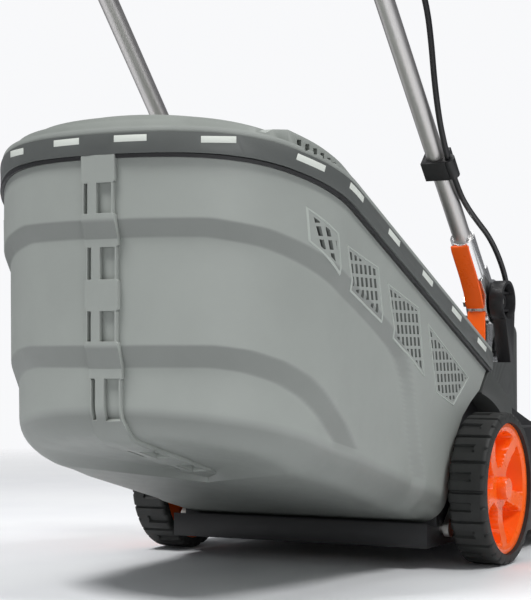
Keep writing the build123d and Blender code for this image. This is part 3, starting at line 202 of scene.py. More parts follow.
MATERIALS = {
    # the collector plastic carries painted shade on its down-facing steps
    "shell_grey": plastic("collector_plastic", (0.305, 0.325, 0.305), 0.42, variation=0.035, painted_underside_shade=True),
    # paler copy of the collector plastic for the vent outlines: painted highlight
    "shell_edge": plastic("collector_edge_lit", (0.40, 0.43, 0.40), 0.42, variation=0.035),
    "rim_grey": plastic("rim_plastic", (0.095, 0.102, 0.098), 0.36, variation=0.08),
    "clip_pale": plastic("clip_plastic", (0.66, 0.69, 0.64), 0.40),
    "black_plastic": plastic("black_plastic", (0.012, 0.012, 0.013), 0.42, variation=0.2),
    "dark_plastic": plastic("dark_plastic", (0.060, 0.064, 0.061), 0.40, variation=0.1),
    "orange_plastic": plastic("orange_plastic", (1.0, 0.125, 0.004), 0.28, variation=0.04),
    "tyre_black": plastic("tyre_rubber", (0.019, 0.020, 0.019), 0.62, 1400.0, 0.0001, 0.25, 30.0),
    "tube": metal("satin_tube", (0.56, 0.545, 0.535), 0.40),
    "casting": metal("satin_casting", (0.80, 0.80, 0.80), 0.24, streaks=1500.0),
    "steel": metal("zinc_steel", (0.66, 0.65, 0.62), 0.32),
    "blade_steel": metal("blade_steel", (0.30, 0.31, 0.32), 0.42, (1, 12, 1), 200.0),
    "motor_metal": plastic("motor_paint", (0.02, 0.02, 0.022), 0.35),
    "lamination": metal("motor_laminations", (0.30, 0.28, 0.26), 0.5, (1, 1, 40), 60.0),
    "brass": metal("turned_brass", (0.78, 0.58, 0.26), 0.28),
    "black_metal": plastic("black_powder_coat", (0.014, 0.014, 0.015), 0.36, 900.0, 0.0001, 0.15),
    "foam": plastic("grip_foam", (0.018, 0.018, 0.018), 0.85, 700.0, 0.0004, 0.3, 60.0),
    "cable": plastic("cable_sheath", (0.010, 0.010, 0.011), 0.38, 500.0, 0.00005, 0.2),
}

SLOT_OF = {part["node"]: part["material_slot"] for part in frame["record"]["subparts"]}
BODY_OF = {
    node: body for body, nodes in frame["record"]["behaviour"]["bodies"].items() for node in nodes
}

for node_name, node in frame["nodes"].items():
    node.data.materials.clear()
    node.data.materials.append(MATERIALS[SLOT_OF[node_name]])


# ---- mesh helpers ----
def new_mesh(name, vertices, faces, material):
    """Object from vertices and faces, with its normals made consistent."""
    mesh = bpy.data.meshes.new(name)
    mesh.from_pydata([tuple(v) for v in vertices], [], faces)
    obj = bpy.data.objects.new(name, mesh)
    bpy.context.scene.collection.objects.link(obj)
    work = bmesh.new()
    work.from_mesh(mesh)
    bmesh.ops.remove_doubles(work, verts=work.verts, dist=1e-6)
    bmesh.ops.recalc_face_normals(work, faces=work.faces)
    work.to_mesh(mesh)
    work.free()
    mesh.materials.append(material)
    return obj


def apply_modifiers(obj):
    """Bake the object's modifiers into its mesh."""
    depsgraph = bpy.context.evaluated_depsgraph_get()
    baked = bpy.data.meshes.new_from_object(obj.evaluated_get(depsgraph))
    obj.modifiers.clear()
    obj.data = baked


def smooth(obj, angle=35.0):
    """Smooth shading that keeps edges sharper than the angle."""
    obj.data.shade_smooth()
    obj.data.set_sharp_from_angle(angle=math.radians(angle))


def cut(obj, cutters):
    """Subtract one joined mesh of cutters."""
    modifier = obj.modifiers.new("cut", "BOOLEAN")
    modifier.operation = "DIFFERENCE"
    modifier.solver = "EXACT"
    modifier.object = cutters
    apply_modifiers(obj)
    bpy.data.objects.remove(cutters)


def settle(obj, nodes, body):
    """Put a finished piece on its body, in place of CAD nodes."""
    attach(obj, body)
    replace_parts(obj, *nodes)
    return obj


def grid_faces(rows, columns, closed=False):
    """Quads between rows of vertices."""
    faces = []
    span = columns if closed else columns - 1
    for row in range(rows - 1):
        for column in range(span):
            right = (column + 1) % columns
            a, b = row * columns + column, row * columns + right
            faces.append((a, b, b + columns, a + columns))
    return faces


def ring_faces(rows, columns):
    """Quads between rows of vertices, closed both ways."""
    faces = []
    for i in range(rows):
        here, ahead = i * columns, (i + 1) % rows * columns
        for k in range(columns):
            m = (k + 1) % columns
            faces.append((here + k, here + m, ahead + m, ahead + k))
    return faces


def softened(node_name, bevel):
    """Copy of a CAD node with rounded edges, in place of it."""
    source = frame["nodes"][node_name]
    obj = bpy.data.objects.new(f"{node_name}_soft", source.data.copy())
    bpy.context.scene.collection.objects.link(obj)
    weld = obj.modifiers.new("weld", "WELD")
    weld.merge_threshold = 1e-5
    tidy = obj.modifiers.new("tidy", "DECIMATE")
    tidy.decimate_type = "DISSOLVE"
    tidy.angle_limit = math.radians(1.0)
    rounding = obj.modifiers.new("rounding", "BEVEL")
    rounding.width = bevel
    rounding.segments = 2
    rounding.limit_method = "ANGLE"
    rounding.angle_limit = math.radians(30.0)
    rounding.use_clamp_overlap = True
    rounding.harden_normals = False
    apply_modifiers(obj)
    smooth(obj)
    return settle(obj, [node_name], BODY_OF[node_name])


# ---- collector surface ----
def polyline_side(points, y, z):
    """Distance to a polyline in the side view, positive below and behind it."""
    best, sign = 1e9, 1.0
    for (ay, az), (by, bz) in zip(points, points[1:]):
        dy, dz = by - ay, bz - az
        t = max(0.0, min(1.0, ((y - ay) * dy + (z - az) * dz) / (dy * dy + dz * dz)))
        off_y, off_z = y - ay - t * dy, z - az - t * dz
        distance = math.hypot(off_y, off_z)
        if distance < best - 1e-9:
            best = distance
            sign = 1.0 if off_y * dz - off_z * dy > 0 else -1.0
    return best * sign


def eased(t):
    """Smooth step from 0 to 1."""
    t = max(0.0, min(1.0, t))
    return t * t * (3 - 2 * t)


UPPER_STEP = [
    (-0.700, 0.371), (-0.507, 0.3705), (-0.473, 0.361), (-0.439, 0.345), (-0.388, 0.322),
    (-0.300, 0.288), (-0.250, 0.266), (-0.222, 0.248), (-0.204, 0.226), (-0.192, 0.202),
    (-0.180, 0.170), (-0.166, 0.137), (-0.148, 0.102), (-0.130, 0.060), (-0.110, -0.050),
]
LOWER_STEP = [
    (-0.700, 0.246), (-0.505, 0.246), (-0.486, 0.242), (-0.459, 0.231), (-0.432, 0.217),
    (-0.394, 0.194), (-0.354, 0.168), (-0.326, 0.143), (-0.308, 0.118), (-0.294, 0.085),
    (-0.283, 0.050), (-0.270, -0.050),
]


def inward(y, z):
    """How far the collector's wall stands in at a place in the side view, past its two steps."""
    upper = polyline_side(UPPER_STEP, y, z)
    lower = polyline_side(LOWER_STEP, y, z)
    upper_share = max(0.0, min(1.0, 0.5 + upper / (2 * STEP_BLEND_UPPER)))
    lower_share = max(0.0, min(1.0, 0.5 + lower / (2 * STEP_BLEND_LOWER)))
    return STEP_UPPER * upper_share + (STEP_LOWER - STEP_UPPER) * lower_share


def rim_height(y):
    """Height of the rim line, which levels out at the rear."""
    if y >= RIM_KNEE_Y:
        return RIM_FRONT_Z - RIM_SLOPE * y
    turn = math.atan(RIM_SLOPE)
    bend_r = (RIM_KNEE_Y - RIM_REAR_Y) / math.sin(turn)
    back = min(RIM_KNEE_Y - y, bend_r * math.sin(turn))
    angle = math.asin(math.sin(turn) - back / bend_r)
    return RIM_FRONT_Z - RIM_SLOPE * RIM_KNEE_Y + bend_r * (math.cos(angle) - math.cos(turn))


def half_width(z):
    """Half-width of the collector's outline at a height."""
    return HALF_WIDTH - SIDE_TAPER * (SIDE_REF_Z - z)


MOUTH = [
    (0.000, -0.070), (0.074, -0.070), (0.110, -0.066), (0.150, -0.052), (0.176, -0.030),
    (0.192, -0.005), (0.206, 0.024), (0.235, 0.050), (0.262, 0.058), (0.600, 0.058),
]


def mouth_y(z):
    """Front edge of the collector's side at a height."""
    for (low_z, low_y), (high_z, high_y) in zip(MOUTH, MOUTH[1:]):
        if z <= high_z:
            return low_y + (high_y - low_y) * (z - low_z) / (high_z - low_z)
    return MOUTH[-1][1]


BOW_Y = COLLECTOR_REAR_Y + BOW_R


def corner_centre(z):
    """Centre of the right rear corner's arc at a height."""
    x = half_width(z) - CORNER_R
    return x, BOW_Y - math.sqrt((BOW_R - CORNER_R) ** 2 - x * x)


def outline(share, z, front_y):
    """Point and outward normal round the right half: 0..1 side, 1..2 corner, 2..3 bowed rear."""
    corner_x, corner_y = corner_centre(z)
    if share <= 1:
        return (half_width(z), front_y + (corner_y - front_y) * share), (1.0, 0.0)
    bow_turn = math.atan2(corner_x, BOW_Y - corner_y)
    if share <= 2:
        turn = math.pi / 2 + (bow_turn - math.pi / 2) * (share - 1)
        normal = (math.sin(turn), -math.cos(turn))
        return (corner_x + CORNER_R * normal[0], corner_y + CORNER_R * normal[1]), normal
    turn = bow_turn * (3 - share)
    normal = (math.sin(turn), -math.cos(turn))
    return (BOW_R * normal[0], BOW_Y + BOW_R * normal[1]), normal


def floor_height(y):
    """Height of the collector's floor."""
    return FLOOR_Z - FLOOR_SLOPE * y


HEIGHT_PASSES = 24         # the outline narrows with height, so a point's height is found in passes
MOUTH_FOOT_Y = -0.070


def wall_point(share, depth, proud=0.0):
    """Point of the right half's wall: depth 0 at the rim to 1 where the floor's rounding starts."""
    z = 0.2
    for _ in range(HEIGHT_PASSES):
        (x, y), normal = outline(share, z, mouth_y(z))
        z_low = floor_height(y) + FLOOR_EDGE_R
        z = 0.5 * z + 0.5 * (rim_height(y) + (z_low - rim_height(y)) * depth)
    step = inward(y, z) - proud
    return Vector((x - normal[0] * step, y - normal[1] * step, z)), normal


def floor_points(share, arc_rows, floor_rows, proud=0.0):
    """Points of one column below the wall: round the edge, then in along the floor."""
    start, normal = wall_point(share, 1.0, proud)
    slope = FLOOR_SLOPE * normal[1]
    turn = math.pi / 2 + math.atan(slope)
    radius = FLOOR_EDGE_R
    points = []
    for row in range(1, arc_rows + 1):
        angle = turn * row / arc_rows
        back = radius * (1 - math.cos(angle))
        z = start.z - radius * math.sin(angle)
        points.append(Vector((start.x - normal[0] * back, start.y - normal[1] * back, z)))
    ring = points[-1]
    spine_y = max(min(ring.y, MOUTH_FOOT_Y), BOW_Y)
    for row in range(1, floor_rows + 1):
        t = row / floor_rows
        x, y = ring.x * (1 - t), ring.y + (spine_y - ring.y) * t
        points.append(Vector((x, y, ring.z - FLOOR_SLOPE * (y - ring.y))))
    return points


SIDE_COLUMNS, CORNER_COLUMNS, REAR_COLUMNS = 60, 14, 26
WALL_ROWS, ARC_ROWS, FLOOR_ROWS = 150, 9, 12


def column_shares():
    """Places of the columns round one half, closer together where it bends."""
    side = [i / SIDE_COLUMNS for i in range(SIDE_COLUMNS)]
    corner = [1 + i / CORNER_COLUMNS for i in range(CORNER_COLUMNS)]
    rear = [2 + i / REAR_COLUMNS for i in range(REAR_COLUMNS + 1)]
    return side + corner + rear


def collector_half(side):
    """One half of the collector as a shell with rounded steps and slotted vent panels."""
    shares = column_shares()
    columns = []
    for share in shares:
        wall = [wall_point(share, row / WALL_ROWS)[0] for row in range(WALL_ROWS + 1)]
        columns.append(wall + floor_points(share, ARC_ROWS, FLOOR_ROWS))
    rows = len(columns[0])
    vertices = [
        Vector((side * column[row].x, column[row].y, column[row].z))
        for row in range(rows) for column in columns
    ]
    name = "right" if side > 0 else "left"
    faces = grid_faces(rows, len(columns))
    obj = new_mesh(f"collector_shell_{name}", vertices, faces, MATERIALS["shell_grey"])
    thick = obj.modifiers.new("thickness", "SOLIDIFY")
    thick.thickness = WALL
    outward = obj.data.polygons[0].normal.x * side
    thick.offset = -1.0 if outward > 0 else 1.0
    apply_modifiers(obj)
    cut(obj, vent_cutters(side))
    smooth(obj, 32.0)
    return settle(obj, [f"collector_{name}"], "collector")


# Vent panels in the side view: corners (y, z) from the upper rear one, clockwise seen from the right.
PANELS = [
    [(-0.440, 0.391), (-0.400, 0.368), (-0.392, 0.329), (-0.437, 0.359)],
    [(-0.381, 0.357), (-0.302, 0.339), (-0.281, 0.283), (-0.362, 0.313)],
    [(-0.273, 0.323), (-0.185, 0.300), (-0.159, 0.225), (-0.246, 0.266)],
    [(-0.153, 0.282), (-0.017, 0.221), (-0.063, 0.190), (-0.120, 0.206)],
]
SLOT_PITCH_Y, SLOT_PITCH_Z = 0.0112, 0.0128
SLOT_WIDTH, SLOT_HEIGHT, SLOT_LEAN = 0.0056, 0.0094, 0.33
FIRST_SLOT_Y, FIRST_SLOT_Z = 0.007, 0.009
SLOT_ROWS = range(9)
SLOT_COLUMNS = range(-4, 15)
SMALLEST_SLOT = 4e-6
PANEL_MARGIN = 0.0035
CUT_IN_X, CUT_OUT_X = 0.130, 0.215


def clipped(polygon, corner_points, margin):
    """The polygon, cut to what lies inside the panel by at least the margin."""
    result = polygon
    for a, b in zip(corner_points, corner_points[1:] + corner_points[:1]):
        edge = (b[0] - a[0], b[1] - a[1])
        length = math.hypot(*edge)
        normal = (edge[1] / length, -edge[0] / length)

        def inside(p):
            return (p[0] - a[0]) * normal[0] + (p[1] - a[1]) * normal[1] - margin

        kept = []
        for p, q in zip(result, result[1:] + result[:1]):
            depth_p, depth_q = inside(p), inside(q)
            if depth_p >= 0:
                kept.append(p)
            if depth_p * depth_q < 0:
                t = depth_p / (depth_p - depth_q)
                kept.append((p[0] + (q[0] - p[0]) * t, p[1] + (q[1] - p[1]) * t))
        result = kept
        if len(result) < 3:
            return []
    return result


def area_of(polygon):
    """Area of a flat polygon."""
    pairs = zip(polygon, polygon[1:] + polygon[:1])
    return abs(sum(p[0] * q[1] - q[0] * p[1] for p, q in pairs)) / 2


def panel_slots(panel):
    """Slots of one vent panel, in horizontal rows and clipped to its outline."""
    top_y, top_z = panel[0]
    slots = []
    for row in SLOT_ROWS:
        z = top_z - FIRST_SLOT_Z - row * SLOT_PITCH_Z
        for column in SLOT_COLUMNS:
            y = top_y + FIRST_SLOT_Y + column * SLOT_PITCH_Y + (top_z - z) * SLOT_LEAN
            half_w, half_h = SLOT_WIDTH / 2, SLOT_HEIGHT / 2
            lean = half_h * SLOT_LEAN
            slot = [
                (y - half_w - lean, z + half_h), (y + half_w - lean, z + half_h),
                (y + half_w + lean, z - half_h), (y - half_w + lean, z - half_h),
            ]
            slot = clipped(slot, panel, PANEL_MARGIN)
            if slot and area_of(slot) > SMALLEST_SLOT:
                slots.append(slot)
    return slots


def prism_mesh(name, polygons, low_x, high_x):
    """Joined prisms along X from polygons in the side view."""
    vertices, faces = [], []
    for polygon in polygons:
        base, count = len(vertices), len(polygon)
        vertices += [(low_x, y, z) for y, z in polygon] + [(high_x, y, z) for y, z in polygon]
        faces.append(tuple(range(base, base + count)))
        faces.append(tuple(range(base + 2 * count - 1, base + count - 1, -1)))
        for i in range(count):
            j = (i + 1) % count
            faces.append((base + i, base + j, base + count + j, base + count + i))
    return new_mesh(name, vertices, faces, MATERIALS["shell_grey"])


def vent_cutters(side):
    """Prisms for every vent slot on one side."""
    polygons = [slot for panel in PANELS for slot in panel_slots(panel)]
    return prism_mesh("vent_cutters", polygons, side * CUT_IN_X, side * CUT_OUT_X)


def mitres(corner_points):
    """Outward direction at each corner of a panel, scaled to keep an offset edge parallel."""
    directions = []
    previous = corner_points[-1:] + corner_points[:-1]
    following = corner_points[1:] + corner_points[:1]
    for before, here, after in zip(previous, corner_points, following):
        edges = []
        for a, b in ((before, here), (here, after)):
            length = math.hypot(b[0] - a[0], b[1] - a[1])
            edges.append(((a[1] - b[1]) / length, (b[0] - a[0]) / length))
        (ay, az), (by, bz) = edges
        share = 1 + ay * by + az * bz
        directions.append(((ay + by) / share, (az + bz) / share))
    return directions


RIDGE_PROFILE = [(-0.0013, -0.0006), (-0.0006, 0.0008), (0.0006, 0.0008), (0.0013, -0.0006)]
RIDGE_STEPS = 12


def panel_ridges(side):
    """Thin raised outline round each vent panel, as beads that follow the wall."""
    vertices, faces = [], []
    for panel in PANELS:
        corner_out = mitres(panel)
        ends = list(zip(panel, corner_out))
        ring = []
        for (a, a_out), (b, b_out) in zip(ends, ends[1:] + ends[:1]):
            for i in range(RIDGE_STEPS):
                place = Vector(a).lerp(Vector(b), i / RIDGE_STEPS)
                out = Vector(a_out).lerp(Vector(b_out), i / RIDGE_STEPS)
                ring.append((place.x, place.y, out.x, out.y))
        base = len(vertices)
        for y, z, out_y, out_z in ring:
            for offset, rise in RIDGE_PROFILE:
                at_y, at_z = y + out_y * offset, z + out_z * offset
                vertices.append((side * (side_wall_x(at_y, at_z) + rise), at_y, at_z))
        count, points = len(RIDGE_PROFILE), len(ring)
        for i in range(points):
            here, ahead = base + i * count, base + (i + 1) % points * count
            for k in range(count):
                m = (k + 1) % count
                faces.append((here + k, here + m, ahead + m, ahead + k))
    name = "right" if side > 0 else "left"
    # the vent outlines use the paler copy of the collector plastic: painted highlight
    obj = new_mesh(f"vent_outlines_{name}", vertices, faces, MATERIALS["shell_edge"])
    smooth(obj, 40.0)
    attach(obj, "collector")
    return obj


def side_wall_x(y, z):
    """X of the right wall's outside at a place in the side view."""
    corner_x, corner_y = corner_centre(z)
    x = half_width(z)
    if y < corner_y:
        x = corner_x + math.sqrt(CORNER_R ** 2 - (corner_y - y) ** 2)
    return x - inward(y, z)


# ---- collector seam ----
SEAM_PROUD, SEAM_LINE_PROUD = 0.005, 0.006
REAR_WINDOWS = ((0.385, 0.415), (0.321, 0.353), (0.260, 0.291), (0.185, 0.224))
FLOOR_WINDOWS = (-0.440, -0.365, -0.290, -0.215)
SEAM_COLUMNS = (-0.0165, -0.0145, -0.0105, -0.0005, 0.0005, 0.0165, 0.0185)
WINDOW_COLUMNS = (1, 4)
FIRST_FLOOR_ROW = 150      # past the wall and the heel
TAB_SPREAD = 1.1           # the solid tabs stand out sideways past the window frames
SEAM_WALL_ROWS, SEAM_HEEL_ROWS, SEAM_FLOOR_ROWS = 140, 10, 110
SEAM_FRONT_Y = -0.097
FLOOR_WINDOW_HALF = 0.017


def seam_path():
    """(point, outward normal) down the rear wall, round the heel and along the floor at the middle."""
    path = []
    for i in range(SEAM_WALL_ROWS + 1):
        point, _ = wall_point(3.0, i / SEAM_WALL_ROWS)
        path.append(point)
    path += floor_points(3.0, SEAM_HEEL_ROWS, 1)[:SEAM_HEEL_ROWS]
    last = path[-1]
    for i in range(1, SEAM_FLOOR_ROWS + 1):
        y = last.y + (SEAM_FRONT_Y - last.y) * i / SEAM_FLOOR_ROWS
        path.append(Vector((0.0, y, last.z - FLOOR_SLOPE * (y - last.y))))
    framed = []
    for i, point in enumerate(path):
        ahead = path[min(i + 1, len(path) - 1)] - path[max(i - 1, 0)]
        framed.append((point, Vector((0.0, ahead.z, -ahead.y)).normalized()))
    return framed


def in_window(point, on_floor):
    """Whether the seam is open at this place along its path."""
    if on_floor:
        return any(abs(point.y - y) < FLOOR_WINDOW_HALF for y in FLOOR_WINDOWS)
    return any(low < point.z < high for low, high in REAR_WINDOWS)


def collector_seam():
    """Raised joining strip: solid tabs with open windows between them."""
    path = seam_path()
    vertices, faces = [], []
    columns = len(SEAM_COLUMNS)
    for row, (point, normal) in enumerate(path):
        spread_out = 1.0 if in_window(point, row > FIRST_FLOOR_ROW) else TAB_SPREAD
        for x in SEAM_COLUMNS:
            proud = SEAM_LINE_PROUD if abs(x) < 0.001 else SEAM_PROUD
            vertices.append((x * spread_out, point.y + normal.y * proud, point.z + normal.z * proud))
    for row in range(len(path) - 1):
        middle = (path[row][0] + path[row + 1][0]) / 2
        open_here = in_window(middle, row > FIRST_FLOOR_ROW)
        for column in range(columns - 1):
            if open_here and column in WINDOW_COLUMNS:
                continue
            a = row * columns + column
            faces.append((a, a + 1, a + columns + 1, a + columns))
    obj = new_mesh("collector_seam", vertices, faces, MATERIALS["shell_grey"])
    thick = obj.modifiers.new("thickness", "SOLIDIFY")
    thick.thickness = SEAM_PROUD + 0.001
    thick.offset = -1.0 if obj.data.polygons[0].normal.y < 0 else 1.0
    edge = obj.modifiers.new("edge", "BEVEL")
    edge.width = 0.0006
    edge.segments = 2
    edge.limit_method = "ANGLE"
    edge.angle_limit = math.radians(50)
    apply_modifiers(obj)
    smooth(obj, 30.0)
    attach(obj, "collector")
    return obj


BAND_FRONT_Y, BAND_START_Z = 0.052, 0.43


def swept_band(name, profile, material_slot):
    """Band round the collector's top: profile points are (outwards, height above the rim line)."""
    shares = column_shares()
    path = [(share, 1) for share in shares] + [(share, -1) for share in reversed(shares[:-1])]
    vertices = []
    for share, side in path:
        (_, first_y), _ = outline(share, BAND_START_Z, BAND_FRONT_Y)
        (x, y), normal = outline(share, rim_height(first_y), BAND_FRONT_Y)
        for out, rise in profile:
            px, py = x + normal[0] * out, y + normal[1] * out
            vertices.append((side * px, py, rim_height(y) + rise))
    count = len(profile)
    faces = grid_faces(len(path), count, closed=True)
    faces.append(tuple(range(count)))
    faces.append(tuple(range((len(path) - 1) * count, len(path) * count)))
    obj = new_mesh(name, vertices, faces, MATERIALS[material_slot])
    smooth(obj, 40.0)
    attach(obj, "collector")
    return obj


for side in (-1, 1):
    collector_half(side)
    panel_ridges(side)
collector_seam()
# black band under the rim line: painted shade of the rim's overhang
SHADOW_BAND_PROFILE = [(0.0035, -0.0038), (0.0042, -0.0005), (-0.001, -0.0005), (-0.001, -0.0038)]
swept_band("rim_shadow_band", SHADOW_BAND_PROFILE, "black_plastic")


# ---- wheels ----
TYRE_SECTIONS = [
    0.0, 0.015, 0.04, 0.08, 0.115, 0.12, 0.3, 0.45, 0.595, 0.60, 0.635, 0.64,
    0.75, 0.875, 0.88, 0.92, 0.96, 0.985, 1.0,
]
TYRE_DEPTH, TYRE_EDGE_R = 0.012, 0.005
STEPS_PER_BLOCK = 22
GROOVE_STEPS, POCKET_STEPS, POCKET_END_STEPS, NOTCH_STEPS = (0, 1), range(9, 15), (9, 14), (11, 12)
GROOVE_DEPTH, NOTCH_DEPTH = 0.0030, 0.0020


def tread_cut(step, across):
    """Depth of the tread at a step of its block and a place across the tyre, 0 inside to 1 outside."""
    if step in GROOVE_STEPS:
        return GROOVE_DEPTH
    if step in POCKET_STEPS and across < (0.62 if step in POCKET_END_STEPS else 0.60):
        return GROOVE_DEPTH
    if step in NOTCH_STEPS and across > 0.875:
        return NOTCH_DEPTH
    return 0.0


def tyre_mesh(name, radius, centre_y, side):
    """Tyre with full-width grooves and blind pockets that open at its inner edge."""
    block_count = 16 if radius > 0.08 else 14
    angles = block_count * STEPS_PER_BLOCK
    inner = radius - TYRE_DEPTH
    vertices = []
    for i in range(angles):
        angle = 2 * math.pi * i / angles
        profile = []
        for t in TYRE_SECTIONS:
            edge = min(t, 1 - t) * WHEEL_WIDTH
            r = radius - 0.0002 - tread_cut(i % STEPS_PER_BLOCK, t)
            if edge < TYRE_EDGE_R:
                r -= TYRE_EDGE_R - math.sqrt(max(0.0, TYRE_EDGE_R ** 2 - (TYRE_EDGE_R - edge) ** 2))
            profile.append((t, r))
        for t, r in profile + [(1.0, inner), (0.0, inner)]:
            x = side * (WHEEL_IN_X + WHEEL_WIDTH * t)
            vertices.append((x, centre_y + r * math.sin(angle), radius + r * math.cos(angle)))
    faces = ring_faces(angles, len(TYRE_SECTIONS) + 2)
    obj = new_mesh(name, vertices, faces, MATERIALS["tyre_black"])
    smooth(obj, 28.0)
    return obj


def hub_depth(r, angle, rim_r):
    """How far the hub's outer face lies behind the wheel's outer plane."""
    share = r / rim_r
    dish = 0.006 + 0.006 * eased((0.95 - share) / 0.5)
    if share > 0.93:
        return 0.0045
    if share > 0.88:
        return 0.0045 + (dish - 0.0045) * eased((0.93 - share) / 0.05)
    spoke = abs(((angle - math.pi + math.pi / 5) % (2 * math.pi / 5)) - math.pi / 5)
    half_spoke = (0.0075 + 0.0025 * share) / max(r, 0.004)
    open_angle = eased((spoke - half_spoke) / (0.0028 / max(r, 0.004)))
    open_radius = eased((share - 0.33) / 0.06) * eased((0.875 - share) / 0.05)
    cavity = 0.020 * open_angle * open_radius
    if r < 0.0125:
        return 0.001
    if r < 0.0136:
        return 0.0025
    return dish + cavity


def hub_mesh(name, radius, centre_y, side):
    """Moulded five-spoke wheel centre with deep cavities and a boss."""
    rim_r = radius - TYRE_DEPTH
    angles = 200
    radii = [0.0002, 0.006, 0.0120, 0.0130, 0.0138, 0.018]
    radii += [0.018 + (rim_r * 0.87 - 0.018) * i / 22 for i in range(1, 23)]
    radii += [rim_r * s for s in (0.885, 0.90, 0.915, 0.93, 0.935, 0.985, 1.0)]
    outer_x = WHEEL_IN_X + WHEEL_WIDTH
    rim_x, web_x, cap_x = WHEEL_IN_X + 0.004, WHEEL_IN_X + 0.014, outer_x - 0.0018
    inner_profile = [
        (rim_r, rim_x), (rim_r - 0.006, rim_x), (rim_r - 0.008, web_x), (0.018, web_x), (0.017, rim_x),
        (0.006, rim_x), (0.006, cap_x), (0.0002, cap_x),
    ]
    vertices = []
    for i in range(angles):
        angle = 2 * math.pi * i / angles
        direction = (math.sin(angle), math.cos(angle))
        for index, r in enumerate(radii):
            depth = hub_depth(r, angle, rim_r)
            if index == len(radii) - 1:
                depth += 0.001
            x = side * (outer_x - depth)
            vertices.append((x, centre_y + r * direction[0], radius + r * direction[1]))
        for r, x in inner_profile:
            vertices.append((side * x, centre_y + r * direction[0], radius + r * direction[1]))
    faces = ring_faces(angles, len(radii) + len(inner_profile))
    obj = new_mesh(name, vertices, faces, MATERIALS["orange_plastic"])
    smooth(obj, 40.0)
    return obj


for end, radius, wheel_y in (("rear", REAR_R, 0.0), ("front", FRONT_R, WHEELBASE)):
    for side_name, side in (("left", -1), ("right", 1)):
        wheel = f"{end}_{side_name}"
        tyre = tyre_mesh(f"{wheel}_tread", radius, wheel_y, side)
        settle(tyre, [f"{wheel}_tyre"], f"{wheel}_wheel")
        hub = hub_mesh(f"{wheel}_spokes", radius, wheel_y, side)
        settle(hub, [f"{wheel}_hub"], f"{wheel}_wheel")


# ---- softened CAD pieces ----
ROUNDED = {
    "collector_rim": 0.0015, "rim_clips": 0.0005, "collector_lid": 0.0025, "deck": 0.003,
    "fenders": 0.0015, "motor_hood": 0.001, "rear_flap": 0.001, "handle_socket_left": 0.0012,
    "handle_socket_right": 0.0012,
    "handle_base_left": 0.0012, "handle_base_right": 0.0012, "clamp_lever_left": 0.0012,
    "clamp_lever_right": 0.0012, "cable_clip": 0.0012, "knob_left": 0.0015, "knob_right": 0.0015,
    "switch_box": 0.0015, "switch_cover": 0.002, "lock_button": 0.0012, "height_lever": 0.0012,
    "socket_screws": 0.0012, "cable_gland": 0.001, "bail_pivot": 0.001, "discharge_chute": 0.0008,
    "blade_housing": 0.001, "blade": 0.0005,
}
for node_name, width in ROUNDED.items():
    softened(node_name, width)


# ---- coloured strips on the brackets: orange trim on the sockets, painted orange reflection on the pillars ----
TUBE_X, STRIP_HALF_WIDTH, STRIP_THICK = 0.170, 0.0115, 0.0035
SOCKET_STRIP = [along_handle(d, f) for d, f in (
    (0.106, -0.0165), (0.098, -0.0185), (0.060, -0.0198),
    (0.036, -0.0225), (0.022, -0.0275), (0.014, -0.0285),
)]
# orange strip on each silver pillar: painted reflection of orange in the casting
PILLAR_REFLECTION_STRIP = [(PIVOT_Y + y, PIVOT_Z + z) for y, z in (
    (-0.0265, -0.0130), (-0.0272, -0.0220), (-0.0272, -0.0480), (-0.0262, -0.0600), (-0.0245, -0.0660),
)]


def strip_mesh(name, route, body):
    """Flat strips along a route in the side view, one on each side."""
    vertices, faces = [], []
    for side in (-1, 1):
        base = len(vertices)
        for i, (y, z) in enumerate(route):
            (ay, az), (by, bz) = route[max(i - 1, 0)], route[min(i + 1, len(route) - 1)]
            length = math.hypot(by - ay, bz - az)
            in_y, in_z = -(bz - az) / length * STRIP_THICK, (by - ay) / length * STRIP_THICK
            for x in (TUBE_X - STRIP_HALF_WIDTH, TUBE_X + STRIP_HALF_WIDTH):
                vertices.append((side * x, y, z))
                vertices.append((side * x, y + in_y, z + in_z))
        for i in range(len(route) - 1):
            a = base + 4 * i
            for k, m in ((0, 2), (2, 3), (3, 1), (1, 0)):
                faces.append((a + k, a + m, a + 4 + m, a + 4 + k))
        faces.append((base, base + 2, base + 3, base + 1))
        last = len(vertices) - 4
        faces.append((last, last + 2, last + 3, last + 1))
    obj = new_mesh(name, vertices, faces, MATERIALS["orange_plastic"])
    rounding = obj.modifiers.new("rounding", "BEVEL")
    rounding.width = 0.0012
    rounding.segments = 3
    rounding.limit_method = "ANGLE"
    rounding.angle_limit = math.radians(40)
    apply_modifiers(obj)
    smooth(obj, 35.0)
    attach(obj, body)
    return obj


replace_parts(strip_mesh("socket_strips", SOCKET_STRIP, "lower_handle"), "socket_trim")
# painted reflection: orange strips on the pillars' rear faces
strip_mesh("pillar_orange_reflection", PILLAR_REFLECTION_STRIP, "chassis")


# ---- cable ----
def metres(points):
    """Route points from millimetres."""
    return [tuple(value / 1000 for value in point) for point in points]


def on_clip(distance, forward, x):
    """Point beside the handle, in millimetres."""
    y, z = along_handle(distance / 1000, forward / 1000)
    return x, y * 1000, z * 1000


LOWER_ROUTE = metres([
    on_clip(233, -6, 187), (187, -42, 443), (185, -2, 424), (183.5, 38, 410), (182, 80, 396),
    (181, 118, 374), (180.5, 148, 346), (180, 160, 313), (178.5, 149, 288), (174.5, 129, 271),
    (172.2, 119, 260), (172, 118, 247),
])
UPPER_ROUTE = metres([
    on_clip(233, -6, 187), (188.5, -98, 503), (190.5, -117, 533), (191.5, -130, 566),
    (192, -139, 602), (191, -149, 640), (187.5, -168, 676), (182.5, -197, 708), (177, -234, 735),
    (172.5, -274, 759), (169, -315, 783), (166.5, -352, 810), (165.5, -384, 838), (165, -412, 862.5),
    on_clip(780, 20, 165),
])


